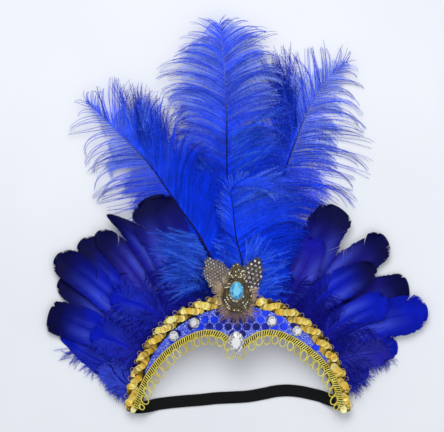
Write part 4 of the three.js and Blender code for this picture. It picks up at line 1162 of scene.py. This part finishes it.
def down_tuft():
    draw = np.random.RandomState(41)
    soup = Soup()
    count = TUFT_BARBS
    share = np.linspace(0, 1, TUFT_STEPS)
    turn = np.radians(draw.uniform(150, 400, count))
    reach = np.where(np.sin(turn) < -0.3, 21, 17) * draw.uniform(0.62, 1.04, count)
    foot = np.stack([
        -2 + draw.normal(0, 3, count), 104 + draw.normal(0, 3, count), draw.uniform(36.3, 38.4, count),
    ], -1)
    head = turn[:, None] + draw.normal(0, 0.5, (count, 1)) * share
    head = head + 0.25 * np.sin(share * 6 + draw.uniform(0, 6, (count, 1)))
    z = foot[:, 2:3] + draw.normal(0, 0.5, (count, 1)) * share
    lines = walk(foot, head, (reach / (TUFT_STEPS - 1))[:, None], z)
    below = smooth(0.2, 0.9, -np.sin(turn))[:, None, None]
    tone = lerp(TAN, UMBER, below) * draw.uniform(0.75, 1.25, (count, 1, 1))
    strands(soup, lines, tone, draw, 0.2, 14, 1.7)
    soup.piece("down_tuft_barbs", DOWN, ["down_tuft"])


GUINEA_VANE = np.array([
    (0, 0.1, 0), (0.2, 0.3, 0), (0.36, 0.78, 1), (0.6, 1, 1), (0.82, 0.95, 1), (1, 0.7, 0.4),
])


def guinea(name, root, tip, bow, width, dot, pitch, ground, downy, seed):
    """A spotted feather: dots of the size dot in offset rows, pitch apart."""
    draw = np.random.RandomState(seed)
    soup = Soup()
    vane = Vane(root, tip, bow, width, GUINEA_VANE, 0.8, lambda s: 38.9 + 0.6 * np.asarray(s))

    def spots(s, across, tone):
        down = s * vane.length
        wide = across * vane.half(s)
        row = np.round(down / pitch)
        shift = np.where(row % 2 == 0, 0.0, pitch / 2)
        column = np.round((wide - shift) / pitch)
        far = np.hypot(down - row * pitch, (wide - shift) - column * pitch)
        white = (1 - smooth(dot * 0.36, dot * 0.56, far)) * smooth(0.3, 0.4, s)
        return lerp(tone, srgb(232, 230, 226), white[..., None])

    tones = (lerp(ground, TAN, 0.6), ground, ground * 0.8)
    vane_barbs(soup, vane, draw, tones, 0.16, 0.42, 34, spots, fray=0.1, cap=0.62)
    fluff(soup, vane, draw, TAN, 0.06, 0.3 + 0.2 * downy, int(60 * downy), 7 + 5 * downy)
    fluff(soup, vane, draw, lerp(ground, TAN, 0.3), 0.45, 0.8, int(24 * downy), 12)
    s = np.linspace(0, 0.96, 24)
    tube(soup, vane.at(s, np.zeros(24)) + UP * 0.2, 0.6 * (1 - 0.7 * s), ground * 0.5, sides=6)
    soup.piece(name + "_feather", GUINEA, [name])


# Elastic strap

STRAP_ROUTE = [
    (-105, -3, 4.9), (-98, -2.8, 6.4), (-90, -2, 2.4), (-81, 0.1, 0), (-59, 2.7, 0), (-39, 4.3, 0),
    (-23, 6, 0), (-7, 6.8, 0), (9, 7.8, 0), (25, 10.6, 0), (37, 13, 0), (49, 13.8, 0), (61, 12.7, 0),
    (73, 10.2, 0), (82, 8, 0), (90, 5, 2.4), (98, 2.5, 6.4), (105, 1, 4.9),
]
STRAP_WIDTH = 12.0
STRAP_GRID = (160, 17)
STRAP_BACK = 0.3


def strap():
    """The upper face of the ribbed elastic, as a sheet."""
    soup = Soup()
    rows, columns = STRAP_GRID
    line = through(STRAP_ROUTE, rows)
    line[:, 2] = np.maximum(line[:, 2], 0) + STRAP_BACK
    way = unit(np.gradient(line, axis=0))
    side = unit(np.cross(UP, way))
    across = np.linspace(-1, 1, columns)
    rib = 0.6 + 0.13 * np.cos(across * 8 * math.pi) * (np.abs(across) < 0.95)
    top = line[:, None] + side[:, None] * (across * STRAP_WIDTH / 2)[None, :, None] + UP * rib[None, :, None]
    soup.add(top, grid_faces(rows, columns)[:, ::-1], srgb(30, 33, 35))
    made = soup.piece("elastic_webbing", elastic_finish(), ["elastic_strap"])


set_the_stage()
strap()
for number, (title, parts) in enumerate(PLUMES.items()):
    plume(title, seed=100 + number, **parts)
for title, rows in GEESE.items():
    for number, entry in enumerate(rows):
        goose(f"{title}_{number + 1}", entry, seed=GOOSE_SEEDS[title] + number)
sequin_cloth()
braid("braid_left", -1, 61)
braid("braid_right", 1, 62)
gimp()
stones()
medallion()
down_tuft()
guinea("guinea_left", root=(-8, 98), tip=(-32, 146), bow=-3, width=25, dot=1.35, pitch=2.9,
       ground=srgb(96, 88, 90), downy=1.0, seed=71)
guinea("guinea_right", root=(7, 98), tip=(19, 147), bow=2, width=20, dot=2.3, pitch=4.3,
       ground=srgb(50, 46, 54), downy=0.5, seed=72)
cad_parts["band_base"].data.materials.clear()
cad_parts["band_base"].data.materials.append(felt_finish())
